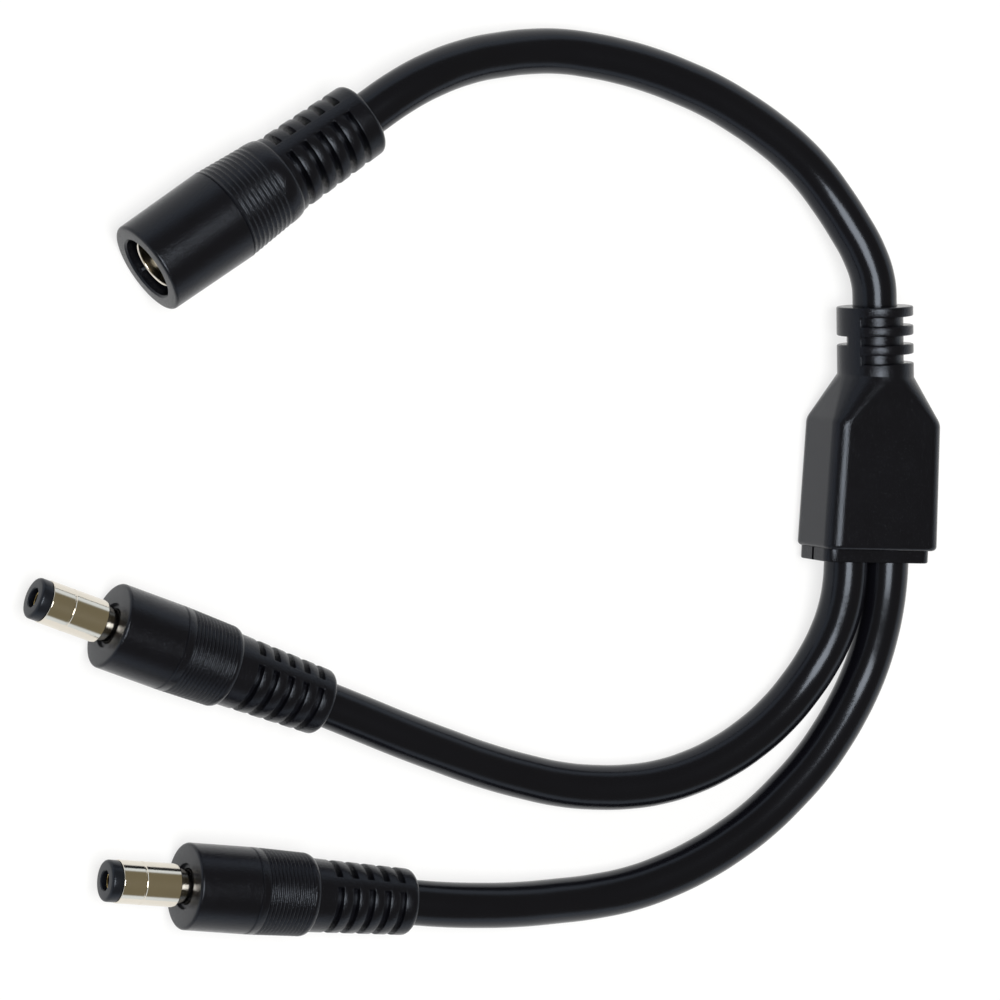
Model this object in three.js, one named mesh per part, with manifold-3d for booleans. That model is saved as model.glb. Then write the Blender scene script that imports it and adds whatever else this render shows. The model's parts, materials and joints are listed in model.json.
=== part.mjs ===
// A splitter cable for low-voltage direct current: one jack, a junction block and two barrel plugs.
// Millimetres, +Z up. The origin is the middle of the junction block's resting face, and +Y runs from
// there along the block to the cable of the jack. Every connector lies on the plane z = 0.

import * as THREE from 'three';
import { ConvexGeometry } from 'three/addons/geometries/ConvexGeometry.js';
import { mergeVertices } from 'three/addons/utils/BufferGeometryUtils.js';
import Module from 'manifold-3d';

const wasm = await Module();
wasm.setup();

// Cable
const CABLE_DIAMETER = 5.8;
const CORE_DIAMETER = 1.6;
const CORE_SPREAD = 1.5; // from the axis of a cable to the axis of each of its two cores
const CABLE_SEPARATION = 0.2; // between the two cables that leave the block side by side

// Clearances
const MOULD_CLEARANCE = 0.15; // round what a moulding grips
const FIT_CLEARANCE = 0.05; // round turned parts that sit in each other
const END_CLEARANCE = 0.3; // between end faces

const CUT_PAST = 1; // how far a cut runs on past the surface that it opens

// Facets
const TURNED_SIDES = 24;
const CABLE_SIDES = 12;
const CORE_SIDES = 8;
const CABLE_STEP = 5.8;
const CORE_STEP = 1.2;
const CORE_BENDS = 6;
const EDGE_STEPS = 4;

// Plug: moulded body, measured back from its front face
const PLUG_BODY_DIAMETER = 11.0;
const PLUG_RING_END_DIAMETER = 10.6;
const PLUG_RELIEF_DIAMETER = 9.4;
const PLUG_RELIEF_END_DIAMETER = 8.5;
const PLUG_FRONT_LENGTH = 8.5;
const PLUG_PLAIN_LENGTH = 1.0; // between the seam and the first fine ring
const PLUG_RINGS_LENGTH = 6.4;
const PLUG_RING_PITCH = 0.53;
const PLUG_SHOULDER_LENGTH = 0.9;
const PLUG_FIRST_SLOT = 2.4; // from the shoulder to the first slot
const PLUG_LAST_LAND = 2.1; // behind the last slot
const PLUG_SLOT_COUNT = 5;
const PLUG_SLOT_PITCH = 2.22;
const PLUG_SLOT_WIDTH = 0.9;
const PLUG_SPINE_WIDTH = 1.4;
const PLUG_SPINE_ANGLE = 30; // degrees from straight up
const PLUG_JACKET_GRIP = 17; // length of cable jacket inside the moulding

// Plug: metal and plastic inside and in front of the body
const BARREL_DIAMETER = 5.5;
const BARREL_LENGTH = 7.9; // in front of its neck
const BARREL_BORE = 3.7;
const BARREL_GROOVE_PLACE = 3.1; // behind the front end of the barrel
const BARREL_GROOVE_WIDTH = 0.3;
const BARREL_GROOVE_DEPTH = 0.12;
const BARREL_NECK_DIAMETER = 4.4; // between the body and the barrel
const BARREL_NECK_LENGTH = 1.4;
const BARREL_RECESS = 0.4; // depth of the shallow recess in the body's face, wide enough for the barrel
const BARREL_STEM_LENGTH = 6.0; // inside the body
const BARREL_FLANGE_DIAMETER = 6.6;
const BARREL_FLANGE_LENGTH = 1.4;
const TIP_DIAMETER = 5.3;
const TIP_LENGTH = 1.5;
const TIP_HOLE = 2.5;
const TIP_SHELL = 0.8; // thickness of the tip in front of the contact
const INSULATOR_WALL = 0.28;
const CONTACT_BORE_DEPTH = 10;
const CONTACT_TAIL_LENGTH = 2.2;
const TAIL_DIAMETER = 1.4;

// Jack: moulded body, measured back from its front face
const JACK_FACE_DIAMETER = 12.2;
const JACK_BODY_DIAMETER = 12.5;
const JACK_RING_END_DIAMETER = 11.5;
const JACK_RELIEF_DIAMETER = 10.5;
const JACK_RELIEF_END_DIAMETER = 9.9;
const JACK_FRONT_LENGTH = 12.3;
const JACK_PLAIN_LENGTH = 0.2;
const JACK_RINGS_LENGTH = 6.6;
const JACK_RING_PITCH = 0.7;
const JACK_SHOULDER_LENGTH = 2.0;
const JACK_FIRST_SLOT = 0.8;
const JACK_LAST_LAND = 2.7;
const JACK_SLOT_COUNT = 5;
const JACK_SLOT_PITCH = 2.32;
const JACK_SLOT_WIDTH = 0.95;
const JACK_SPINE_WIDTH = 1.8;
const JACK_SPINE_ANGLE = 46;
const JACK_JACKET_GRIP = 14.5;

// Jack: socket
const MOUTH_DIAMETER = 8.2;
const INSERT_RECESS = 2.6; // front of the insert behind the mouth
const INSERT_REAR_WALL = 1.8;
const SLEEVE_DIAMETER = 6.9;
const SLEEVE_WALL = 0.45;
const SLEEVE_RECESS = 1.1;
const SLEEVE_LENGTH = 10.9;
const SLEEVE_RIM = 0.65; // inward rim that closes the back of the sleeve
const SLEEVE_RIM_THICKNESS = 0.5;
const PIN_DIAMETER = 2.0;
const PIN_RECESS = 3.0;
const PIN_TAIL_LENGTH = 2.6;
const KEY_RIB_WIDTH = 0.45;
const KEY_RIB_HEIGHT = 0.5;
const KEY_RIB_RECESS = 0.7;
const KEY_RIB_ANGLE = 192; // degrees from straight up

// Solder lugs of the barrel and of the sleeve
const LUG_WIDTH = 1.6;
const LUG_THICKNESS = 0.5;
const LUG_LAP = 1.8; // length of core that lies on the lug
const TAIL_LAP = 1.5; // length of core that lies on the tail of the centre contact or pin
const SOLDER_CLEARANCE = 0.1;

// Details that the moulded bodies share
const FACE_EDGE = 0.4;
const RELIEF_END_EDGE = 0.8;
const SEAM_DEPTH = 0.12;
const SEAM_WIDTH = 0.3;
const RING_DEPTH = 0.16;
const SLOT_FLOOR_WALL = 0.55; // moulding left round the cable under a slot

// Junction block
const BLOCK_WIDTH = 16.6; // where the two cables leave
const BLOCK_SHOULDER_WIDTH = 15.8;
const BLOCK_THICKNESS = 10.4;
const BLOCK_LENGTH = 16.6; // between the step and the shoulder
const BLOCK_SHOULDER_LENGTH = 5.9;
const BLOCK_EDGE = 2.0; // round of the long edges
const BLOCK_END_EDGE = 0.6; // round of the edges next to the step
const STEP_LENGTH = 1.7;
const STEP_INSET = 0.6; // at either side
const STEP_TOP_INSET = 1.5;
const STEP_BASE_INSET = 0.4;
const STEP_EDGE = 1.5;
const NECK_DIAMETER = 10.0;
const NECK_LEAN = 4; // degrees, towards the jack
const NECK_COLLAR_LENGTH = 1.7;
const NECK_RING_WIDTH = 1.3;
const NECK_GROOVE_WIDTH = 1.15;
const NECK_GROOVE_DEPTH = 1.3;
const NECK_RING_COUNT = 3;
const NECK_BROAD_SPINE = 7.0; // the one spine of the first and of the last groove
const NECK_BROAD_SPINE_ANGLE = -95; // degrees from straight up
const NECK_MIDDLE_SPINE = 2.2; // the two opposite spines of the groove between them
const NECK_MIDDLE_SPINE_ANGLE = -62;
const SPLICE_WALL = 0.2;
const SPLICE_LENGTH = 5.0;
const SPLICE_PLACE = 1.0; // along the block from the origin to the middle of the splices
const SPLICE_GAP = 0.6; // between the positive and the negative splice
const SPLICE_GRIP = 2.1; // length of each core inside its splice
const BLOCK_INPUT_GRIP = 15.5; // length of the jack's cable inside neck and shoulder
const BLOCK_OUTPUT_GRIP = 3.6;

// Where the connectors lie: middle of the front face, and the direction that it points, in degrees
const JACK_PLACE = { x: -104.4, y: 24.8, heading: 214.7 };
const PLUG_1_PLACE = { x: -107.0, y: -19.5, heading: 162.2 };
const PLUG_2_PLACE = { x: -95.2, y: -52.1, heading: 176.0 };

// Routes of the three cables between the mouldings, chosen by hand
const INPUT_ROUTE = [
  [-70.9, 48.0, 6.2], [-66.3, 50.4, 5.7], [-60.6, 52.4, 4.7], [-55.8, 53.4, 3.9], [-51.3, 54.0, 3.3],
  [-46.9, 54.2, 3.0], [-42.6, 53.9, 3.0], [-38.3, 53.3, 3.0], [-34.0, 52.4, 3.0], [-29.5, 51.1, 3.0],
  [-25.0, 49.5, 3.0], [-20.7, 47.5, 3.0], [-16.7, 45.3, 3.0], [-12.9, 42.8, 3.0], [-9.6, 40.0, 3.1],
  [-6.9, 36.9, 3.5], [-4.5, 33.5, 4.2], [-2.5, 30.1, 4.9], [-1.1, 26.6, 5.2],
];
const OUTPUT_1_ROUTE = [
  [-3.0, -13.0, 5.1], [-3.3, -16.4, 4.7], [-4.1, -19.8, 4.1], [-5.5, -23.2, 3.5], [-7.6, -26.6, 3.1],
  [-10.8, -30.3, 3.0], [-14.8, -33.6, 3.0], [-19.1, -36.2, 3.0], [-23.3, -38.0, 3.0], [-27.6, -39.2, 3.0],
  [-32.0, -39.8, 3.0], [-36.8, -39.9, 3.0], [-42.0, -39.5, 3.1], [-47.8, -38.4, 3.5], [-53.8, -36.9, 4.1],
  [-60.0, -35.0, 4.8], [-66.1, -33.0, 5.3], [-72.0, -30.9, 5.5],
];
const OUTPUT_2_ROUTE = [
  [3.0, -13.0, 5.1], [2.9, -16.4, 4.7], [2.6, -19.8, 4.1], [2.0, -23.2, 3.5], [0.9, -26.6, 3.1],
  [-0.6, -29.7, 3.0], [-2.6, -33.0, 3.0], [-5.4, -36.8, 3.0], [-9.0, -40.6, 3.0], [-12.7, -43.9, 3.0],
  [-16.8, -46.8, 3.0], [-21.2, -49.3, 3.0], [-26.0, -51.4, 3.0], [-31.0, -53.0, 3.0], [-36.6, -54.0, 3.2],
  [-42.4, -54.5, 3.8], [-48.3, -54.8, 4.6], [-54.0, -54.8, 5.2], [-59.6, -54.6, 5.5],
];

// Materials
const finish = (color, roughness, metalness) =>
  new THREE.MeshStandardMaterial({ color, roughness, metalness });
const MOULDING = finish(0x1c1c1f, 0.55, 0);
const JACKET = finish(0x151517, 0.35, 0);
const INSULATOR = finish(0x111113, 0.45, 0);
const NICKEL = finish(0xc9c2b4, 0.2, 1);
const BRASS = finish(0xb8924a, 0.3, 1);
const POSITIVE = finish(0xa8201c, 0.5, 0);
const NEGATIVE = finish(0x222226, 0.5, 0);

const radians = THREE.MathUtils.degToRad;
const point = (r, y) => new THREE.Vector2(r, y);

// Solids: closed meshes to cut and join, and back again

function solid(geometry) {
  const bare = geometry.clone();
  bare.deleteAttribute('normal');
  bare.deleteAttribute('uv');
  const merged = mergeVertices(bare, 1e-5);
  const corners = merged.index.array;
  const kept = [];
  for (let i = 0; i < corners.length; i += 3) {
    const [a, b, c] = corners.slice(i, i + 3);
    if (a !== b && b !== c && c !== a) kept.push(a, b, c);
  }
  return new wasm.Manifold(new wasm.Mesh({
    numProp: 3,
    vertProperties: new Float32Array(merged.attributes.position.array),
    triVerts: new Uint32Array(kept),
  }));
}

function surface(body) {
  const mesh = body.getMesh();
  const geometry = new THREE.BufferGeometry();
  geometry.setAttribute('position', new THREE.BufferAttribute(mesh.vertProperties, 3));
  geometry.setIndex(new THREE.BufferAttribute(mesh.triVerts, 1));
  geometry.computeVertexNormals();
  return geometry;
}

const cutFrom = (body, cutters) => cutters.reduce((rest, cutter) => rest.subtract(cutter), body);
const joined = (bodies) => bodies.reduce((sum, body) => sum.add(body));

// Turned shapes run along Y. The profile goes up the outside, and down the bore where there is one.

const turned = (profile) => solid(new THREE.LatheGeometry(profile, TURNED_SIDES));

function rod(diameter, from, to) {
  const geometry = new THREE.CylinderGeometry(diameter / 2, diameter / 2, to - from, TURNED_SIDES);
  return solid(geometry.translate(0, (from + to) / 2, 0));
}

function pipe(outer, bore, from, to) {
  return turned([
    point(bore / 2, from), point(outer / 2, from), point(outer / 2, to), point(bore / 2, to),
    point(bore / 2, from),
  ]);
}

function bar(width, length, height, x, y, z) {
  return solid(new THREE.BoxGeometry(width, length, height).translate(x, y, z));
}

// A round tube along a curve, in straight steps

function tube(path, diameter, sides, step) {
  const section = new THREE.Shape();
  for (let side = 0; side < sides; side += 1) {
    const angle = (2 * Math.PI * side) / sides;
    const x = (diameter / 2) * Math.cos(angle);
    const y = (diameter / 2) * Math.sin(angle);
    if (side === 0) section.moveTo(x, y);
    else section.lineTo(x, y);
  }
  section.closePath();
  const steps = Math.max(2, Math.round(path.getLength() / step));
  return new THREE.ExtrudeGeometry(section, { steps, extrudePath: path, bevelEnabled: false });
}

const curve = (points) => new THREE.CatmullRomCurve3(points, false, 'centripetal');
const core = (path, clearance = 0) => tube(path, CORE_DIAMETER + 2 * clearance, CORE_SIDES, CORE_STEP);
const coreBore = (path) => solid(core(path, MOULD_CLEARANCE));

function straight(x, z, from, to) {
  return curve([
    new THREE.Vector3(x, from, z), new THREE.Vector3(x, (from + to) / 2, z), new THREE.Vector3(x, to, z),
  ]);
}

// Moulded body of a plug or jack: plain front, fine rings, shoulder, slotted strain relief

function bodyLength(sizes) {
  return sizes.front + sizes.plain + sizes.rings + sizes.shoulder + sizes.firstSlot
    + (sizes.slotCount - 1) * sizes.slotPitch + sizes.slotWidth + sizes.lastLand;
}

function bodyProfile(sizes) {
  const length = bodyLength(sizes);
  const ringsStart = sizes.front + sizes.plain;
  const ringsEnd = ringsStart + sizes.rings;
  const reliefStart = ringsEnd + sizes.shoulder;
  const profile = [point(0, -length)];
  const endRadius = sizes.reliefEndDiameter / 2;
  for (let turn = 0; turn <= 3; turn += 1) {
    const angle = (turn / 3) * (Math.PI / 2);
    profile.push(point(
      endRadius - RELIEF_END_EDGE * (1 - Math.sin(angle)),
      -length + RELIEF_END_EDGE * (1 - Math.cos(angle)),
    ));
  }
  profile.push(point(sizes.reliefDiameter / 2, -reliefStart));
  const rise = (sizes.ringEndDiameter - sizes.reliefDiameter) / 2;
  for (let turn = 1; turn <= 2; turn += 1) {
    const angle = (turn / 3) * (Math.PI / 2);
    profile.push(point(
      sizes.reliefDiameter / 2 + rise * Math.sin(angle),
      -reliefStart + sizes.shoulder * (1 - Math.cos(angle)),
    ));
  }
  const count = Math.max(1, Math.round(sizes.rings / sizes.ringPitch));
  for (let ring = 0; ring < count; ring += 1) {
    const across = (share) => THREE.MathUtils.lerp(
      sizes.ringEndDiameter / 2, sizes.diameter / 2, (ring + share) / count);
    const place = (share) => -ringsEnd + (sizes.rings * (ring + share)) / count;
    profile.push(point(across(0), place(0)), point(across(0.6) - RING_DEPTH, place(0.6)));
  }
  profile.push(
    point(sizes.diameter / 2, -ringsStart),
    point(sizes.diameter / 2, -sizes.front - Math.min(SEAM_WIDTH, sizes.plain) / 2),
    point(sizes.diameter / 2 - SEAM_DEPTH, -sizes.front),
    point(sizes.diameter / 2, -sizes.front + SEAM_WIDTH / 2),
  );
  for (let turn = 0; turn <= 2; turn += 1) {
    const angle = (turn / 2) * (Math.PI / 2);
    profile.push(point(
      sizes.faceDiameter / 2 - FACE_EDGE * (1 - Math.cos(angle)),
      -FACE_EDGE * (1 - Math.sin(angle)),
    ));
  }
  profile.push(point(0, 0));
  return profile;
}

function reliefSlots(sizes) {
  const floor = CABLE_DIAMETER / 2 + MOULD_CLEARANCE + SLOT_FLOOR_WALL;
  const reach = sizes.reliefDiameter / 2 + CUT_PAST;
  const firstSlot = sizes.front + sizes.plain + sizes.rings + sizes.shoulder + sizes.firstSlot;
  const spine = new THREE.BoxGeometry(sizes.spineWidth, bodyLength(sizes) * 2, 2 * (reach + CUT_PAST));
  const spineSolid = solid(spine.rotateY(radians(sizes.spineAngle)));
  const slots = [];
  for (let slot = 0; slot < sizes.slotCount; slot += 1) {
    const start = -firstSlot - slot * sizes.slotPitch;
    slots.push(pipe(2 * reach, 2 * floor, start - sizes.slotWidth, start).subtract(spineSolid));
  }
  return slots;
}

function mouldedBody(sizes, cavities) {
  const jacketBore = rod(
    CABLE_DIAMETER + 2 * MOULD_CLEARANCE,
    -bodyLength(sizes) - CUT_PAST,
    -bodyLength(sizes) + sizes.jacketGrip + END_CLEARANCE,
  );
  return cutFrom(turned(bodyProfile(sizes)), [...reliefSlots(sizes), jacketBore, ...cavities]);
}

const PLUG_SIZES = {
  faceDiameter: PLUG_BODY_DIAMETER, diameter: PLUG_BODY_DIAMETER,
  ringEndDiameter: PLUG_RING_END_DIAMETER, reliefDiameter: PLUG_RELIEF_DIAMETER,
  reliefEndDiameter: PLUG_RELIEF_END_DIAMETER, front: PLUG_FRONT_LENGTH, plain: PLUG_PLAIN_LENGTH,
  rings: PLUG_RINGS_LENGTH, ringPitch: PLUG_RING_PITCH, shoulder: PLUG_SHOULDER_LENGTH,
  firstSlot: PLUG_FIRST_SLOT, lastLand: PLUG_LAST_LAND, slotCount: PLUG_SLOT_COUNT,
  slotPitch: PLUG_SLOT_PITCH, slotWidth: PLUG_SLOT_WIDTH, spineWidth: PLUG_SPINE_WIDTH,
  spineAngle: PLUG_SPINE_ANGLE, jacketGrip: PLUG_JACKET_GRIP,
};
const JACK_SIZES = {
  faceDiameter: JACK_FACE_DIAMETER, diameter: JACK_BODY_DIAMETER,
  ringEndDiameter: JACK_RING_END_DIAMETER, reliefDiameter: JACK_RELIEF_DIAMETER,
  reliefEndDiameter: JACK_RELIEF_END_DIAMETER, front: JACK_FRONT_LENGTH, plain: JACK_PLAIN_LENGTH,
  rings: JACK_RINGS_LENGTH, ringPitch: JACK_RING_PITCH, shoulder: JACK_SHOULDER_LENGTH,
  firstSlot: JACK_FIRST_SLOT, lastLand: JACK_LAST_LAND, slotCount: JACK_SLOT_COUNT,
  slotPitch: JACK_SLOT_PITCH, slotWidth: JACK_SLOT_WIDTH, spineWidth: JACK_SPINE_WIDTH,
  spineAngle: JACK_SPINE_ANGLE, jacketGrip: JACK_JACKET_GRIP,
};

// Core ends and lugs inside a plug or jack. The positive core lies on the tail in the middle, the negative
// one on the lug. Both start at the end of the cable's jacket.

const TAIL_CORE_OFFSET = (TAIL_DIAMETER + CORE_DIAMETER) / 2 + SOLDER_CLEARANCE;
const LUG_FACE = CORE_SPREAD + CORE_DIAMETER / 2 + SOLDER_CLEARANCE;
const jacketEnd = (sizes) => -bodyLength(sizes) + sizes.jacketGrip;

function positivePath(sizes, tailEnd) {
  return straight(0, TAIL_CORE_OFFSET, jacketEnd(sizes) + END_CLEARANCE, tailEnd + TAIL_LAP);
}

function negativePath(sizes, tailEnd) {
  return straight(0, -CORE_SPREAD, jacketEnd(sizes) + END_CLEARANCE, tailEnd - SOLDER_CLEARANCE);
}

function lug(tailEnd, from, clearance = 0) {
  const to = tailEnd - SOLDER_CLEARANCE - LUG_LAP - clearance;
  return bar(
    LUG_WIDTH + 2 * clearance, from - to, LUG_THICKNESS + 2 * clearance,
    0, (from + to) / 2, -LUG_FACE - LUG_THICKNESS / 2,
  );
}

// Plug

const BARREL_FRONT = BARREL_NECK_LENGTH + BARREL_LENGTH;
const TIP_REAR = BARREL_FRONT + FIT_CLEARANCE;
const TIP_FRONT = TIP_REAR + TIP_LENGTH;
const INSULATOR_DIAMETER = BARREL_BORE - 2 * FIT_CLEARANCE;
const INSULATOR_BORE = INSULATOR_DIAMETER - 2 * INSULATOR_WALL;
const CONTACT_DIAMETER = INSULATOR_BORE - 2 * FIT_CLEARANCE;
const CONTACT_FRONT = TIP_FRONT - TIP_SHELL - FIT_CLEARANCE;
const CONTACT_REAR = -BARREL_STEM_LENGTH - END_CLEARANCE;
const CONTACT_TAIL_END = CONTACT_REAR - CONTACT_TAIL_LENGTH;

function barrelStem(clearance) {
  const stem = rod(
    BARREL_NECK_DIAMETER + 2 * clearance, -BARREL_STEM_LENGTH - clearance, CUT_PAST);
  const flangeFront = -BARREL_STEM_LENGTH + BARREL_FLANGE_LENGTH + clearance;
  const flange = rod(
    BARREL_FLANGE_DIAMETER + 2 * clearance, -BARREL_STEM_LENGTH - clearance, flangeFront);
  const recess = rod(BARREL_DIAMETER + 2 * clearance, -BARREL_RECESS, CUT_PAST);
  return joined([stem, flange, recess]);
}

function barrel() {
  const bore = BARREL_BORE / 2;
  const neck = BARREL_NECK_DIAMETER / 2;
  const outer = BARREL_DIAMETER / 2;
  const flange = BARREL_FLANGE_DIAMETER / 2;
  const flangeFront = -BARREL_STEM_LENGTH + BARREL_FLANGE_LENGTH;
  const groove = BARREL_FRONT - BARREL_GROOVE_PLACE;
  const sleeve = turned([
    point(bore, -BARREL_STEM_LENGTH), point(flange, -BARREL_STEM_LENGTH), point(flange, flangeFront),
    point(neck, flangeFront), point(neck, BARREL_NECK_LENGTH), point(outer, BARREL_NECK_LENGTH),
    point(outer, groove - BARREL_GROOVE_WIDTH / 2), point(outer - BARREL_GROOVE_DEPTH, groove),
    point(outer, groove + BARREL_GROOVE_WIDTH / 2), point(outer, BARREL_FRONT),
    point(bore, BARREL_FRONT), point(bore, -BARREL_STEM_LENGTH),
  ]);
  return sleeve.add(lug(CONTACT_TAIL_END, -BARREL_STEM_LENGTH + BARREL_FLANGE_LENGTH / 2));
}

function plugInsulator() {
  return turned([
    point(INSULATOR_BORE / 2, CONTACT_REAR),
    point(INSULATOR_DIAMETER / 2, CONTACT_REAR), point(INSULATOR_DIAMETER / 2, TIP_REAR),
    point(TIP_DIAMETER / 2, TIP_REAR), point(TIP_DIAMETER / 2, TIP_FRONT - FACE_EDGE),
    point(TIP_DIAMETER / 2 - FACE_EDGE / 2, TIP_FRONT - FACE_EDGE / 8),
    point(TIP_DIAMETER / 2 - FACE_EDGE, TIP_FRONT),
    point(TIP_HOLE / 2, TIP_FRONT), point(TIP_HOLE / 2, TIP_FRONT - TIP_SHELL),
    point(INSULATOR_BORE / 2, TIP_FRONT - TIP_SHELL), point(INSULATOR_BORE / 2, CONTACT_REAR),
  ]);
}

function centreContact() {
  const bore = rod(TIP_HOLE, CONTACT_FRONT - CONTACT_BORE_DEPTH, CONTACT_FRONT + CUT_PAST);
  const tail = rod(TAIL_DIAMETER, CONTACT_TAIL_END, CONTACT_REAR + CUT_PAST);
  return rod(CONTACT_DIAMETER, CONTACT_REAR, CONTACT_FRONT).subtract(bore).add(tail);
}

function plug(name, place) {
  const positive = positivePath(PLUG_SIZES, CONTACT_TAIL_END);
  const negative = negativePath(PLUG_SIZES, CONTACT_TAIL_END);
  const room = TAIL_DIAMETER + 2 * MOULD_CLEARANCE;
  const cavities = [
    barrelStem(MOULD_CLEARANCE),
    rod(room, CONTACT_TAIL_END - MOULD_CLEARANCE, CONTACT_REAR),
    rod(INSULATOR_DIAMETER + 2 * MOULD_CLEARANCE, CONTACT_REAR - MOULD_CLEARANCE, 0),
    lug(CONTACT_TAIL_END, -BARREL_STEM_LENGTH, MOULD_CLEARANCE),
    coreBore(extended(positive)), coreBore(extended(negative)),
  ];
  return connector(place, PLUG_BODY_DIAMETER / 2, {
    [`${name}_body`]: [surface(mouldedBody(PLUG_SIZES, cavities)), MOULDING],
    [`${name}_barrel`]: [surface(barrel()), NICKEL],
    [`${name}_insulator`]: [surface(plugInsulator()), INSULATOR],
    [`${name}_centre_contact`]: [surface(centreContact()), BRASS],
    [`${name}_positive_core`]: [core(positive), POSITIVE],
    [`${name}_negative_core`]: [core(negative), NEGATIVE],
  });
}

// A bore runs past both ends of the core in it

function extended(path) {
  const past = path.getTangent(0).multiplyScalar(-MOULD_CLEARANCE);
  const first = path.getPoint(0).add(past);
  const last = path.getPoint(1).add(path.getTangent(1).multiplyScalar(MOULD_CLEARANCE));
  return curve([first, ...path.points.slice(1, -1), last]);
}

// Jack

const SLEEVE_REAR = -SLEEVE_RECESS - SLEEVE_LENGTH;
const INSERT_FLOOR = SLEEVE_REAR - FIT_CLEARANCE;
const INSERT_REAR = INSERT_FLOOR - INSERT_REAR_WALL;
const INSERT_DIAMETER = MOUTH_DIAMETER - 2 * FIT_CLEARANCE;
const PIN_TAIL_END = INSERT_REAR - PIN_TAIL_LENGTH;

function jackSleeve() {
  const outer = SLEEVE_DIAMETER / 2;
  const bore = outer - SLEEVE_WALL;
  const rimFront = SLEEVE_REAR + SLEEVE_RIM_THICKNESS;
  const sleeve = turned([
    point(bore - SLEEVE_RIM, SLEEVE_REAR), point(outer, SLEEVE_REAR), point(outer, -SLEEVE_RECESS),
    point(bore, -SLEEVE_RECESS), point(bore, rimFront), point(bore - SLEEVE_RIM, rimFront),
    point(bore - SLEEVE_RIM, SLEEVE_REAR),
  ]);
  return sleeve.add(lug(PIN_TAIL_END, rimFront - FIT_CLEARANCE));
}

function jackInsert() {
  const pocket = rod(SLEEVE_DIAMETER + 2 * FIT_CLEARANCE, INSERT_FLOOR, 0);
  const pinHole = rod(
    PIN_DIAMETER + 2 * FIT_CLEARANCE, INSERT_REAR - CUT_PAST, INSERT_FLOOR + CUT_PAST);
  const shell = rod(INSERT_DIAMETER, INSERT_REAR, -INSERT_RECESS);
  const lugSlot = lug(PIN_TAIL_END, 0, FIT_CLEARANCE);
  const ribRadius = (INSERT_DIAMETER - KEY_RIB_HEIGHT) / 2;
  const ribLength = INSERT_RECESS - KEY_RIB_RECESS + CUT_PAST;
  const rib = new THREE.BoxGeometry(KEY_RIB_WIDTH, ribLength, KEY_RIB_HEIGHT);
  rib.translate(0, -KEY_RIB_RECESS - ribLength / 2, ribRadius - FIT_CLEARANCE);
  rib.rotateY(radians(KEY_RIB_ANGLE));
  return cutFrom(shell.add(solid(rib)), [pocket, pinHole, lugSlot]);
}

function jackPin() {
  const radius = PIN_DIAMETER / 2;
  const profile = [point(0, INSERT_REAR), point(radius, INSERT_REAR)];
  for (let turn = 0; turn <= 3; turn += 1) {
    const angle = (turn / 4) * (Math.PI / 2);
    profile.push(point(radius * Math.cos(angle), -PIN_RECESS - radius * (1 - Math.sin(angle))));
  }
  profile.push(point(0, -PIN_RECESS));
  return turned(profile).add(rod(TAIL_DIAMETER, PIN_TAIL_END, INSERT_REAR + CUT_PAST));
}

function jack(place) {
  const positive = positivePath(JACK_SIZES, PIN_TAIL_END);
  const negative = negativePath(JACK_SIZES, PIN_TAIL_END);
  const cavities = [
    rod(MOUTH_DIAMETER, INSERT_REAR - MOULD_CLEARANCE, CUT_PAST),
    rod(TAIL_DIAMETER + 2 * MOULD_CLEARANCE, PIN_TAIL_END - MOULD_CLEARANCE, INSERT_REAR),
    lug(PIN_TAIL_END, INSERT_REAR, MOULD_CLEARANCE),
    coreBore(extended(positive)), coreBore(extended(negative)),
  ];
  return connector(place, JACK_BODY_DIAMETER / 2, {
    jack_body: [surface(mouldedBody(JACK_SIZES, cavities)), MOULDING],
    jack_insert: [surface(jackInsert()), INSULATOR],
    jack_sleeve: [surface(jackSleeve()), NICKEL],
    jack_pin: [surface(jackPin()), NICKEL],
    jack_positive_core: [core(positive), POSITIVE],
    jack_negative_core: [core(negative), NEGATIVE],
  });
}

// A connector's own frame has +Y out of its front face and +Z up

function connector(place, height, pieces) {
  const group = new THREE.Group();
  group.position.set(place.x, place.y, height);
  group.rotation.z = radians(place.heading - 90);
  for (const [name, [geometry, material]] of Object.entries(pieces)) {
    const mesh = new THREE.Mesh(geometry, material);
    mesh.name = name;
    group.add(mesh);
  }
  return group;
}

// Junction block

const BLOCK_AXIS = BLOCK_THICKNESS / 2;
const SHOULDER_START = BLOCK_LENGTH / 2;
const NECK_START = SHOULDER_START + BLOCK_SHOULDER_LENGTH;
const NECK_LENGTH = NECK_COLLAR_LENGTH + NECK_RING_COUNT * (NECK_RING_WIDTH + NECK_GROOVE_WIDTH);
const OUTPUT_OFFSET = (CABLE_DIAMETER + CABLE_SEPARATION) / 2;
const OUTLET = -BLOCK_LENGTH / 2 - STEP_LENGTH;

function neckFrame() {
  const frame = new THREE.Matrix4().makeRotationZ(radians(NECK_LEAN));
  return frame.setPosition(0, NECK_START, BLOCK_AXIS);
}

const inNeck = (y) => new THREE.Vector3(0, y, 0).applyMatrix4(neckFrame());
const leaned = (body) => body.transform(neckFrame().elements);

// A section across the block: a rectangle with round corners

function section(y, half, base, top, edge) {
  const middle = (base + top) / 2;
  const points = [];
  for (const [side, rise, start] of [[1, 1, 0], [-1, 1, 90], [-1, -1, 180], [1, -1, 270]]) {
    for (let step = 0; step <= EDGE_STEPS; step += 1) {
      const angle = radians(start + (90 * step) / EDGE_STEPS);
      const x = side * (half - edge) + edge * Math.cos(angle);
      const z = middle + rise * (top - middle - edge) + edge * Math.sin(angle);
      points.push(new THREE.Vector3(x, y, z));
    }
  }
  return points;
}

// From the rounded end at the step, along the block and over the shoulder to the round neck

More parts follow.
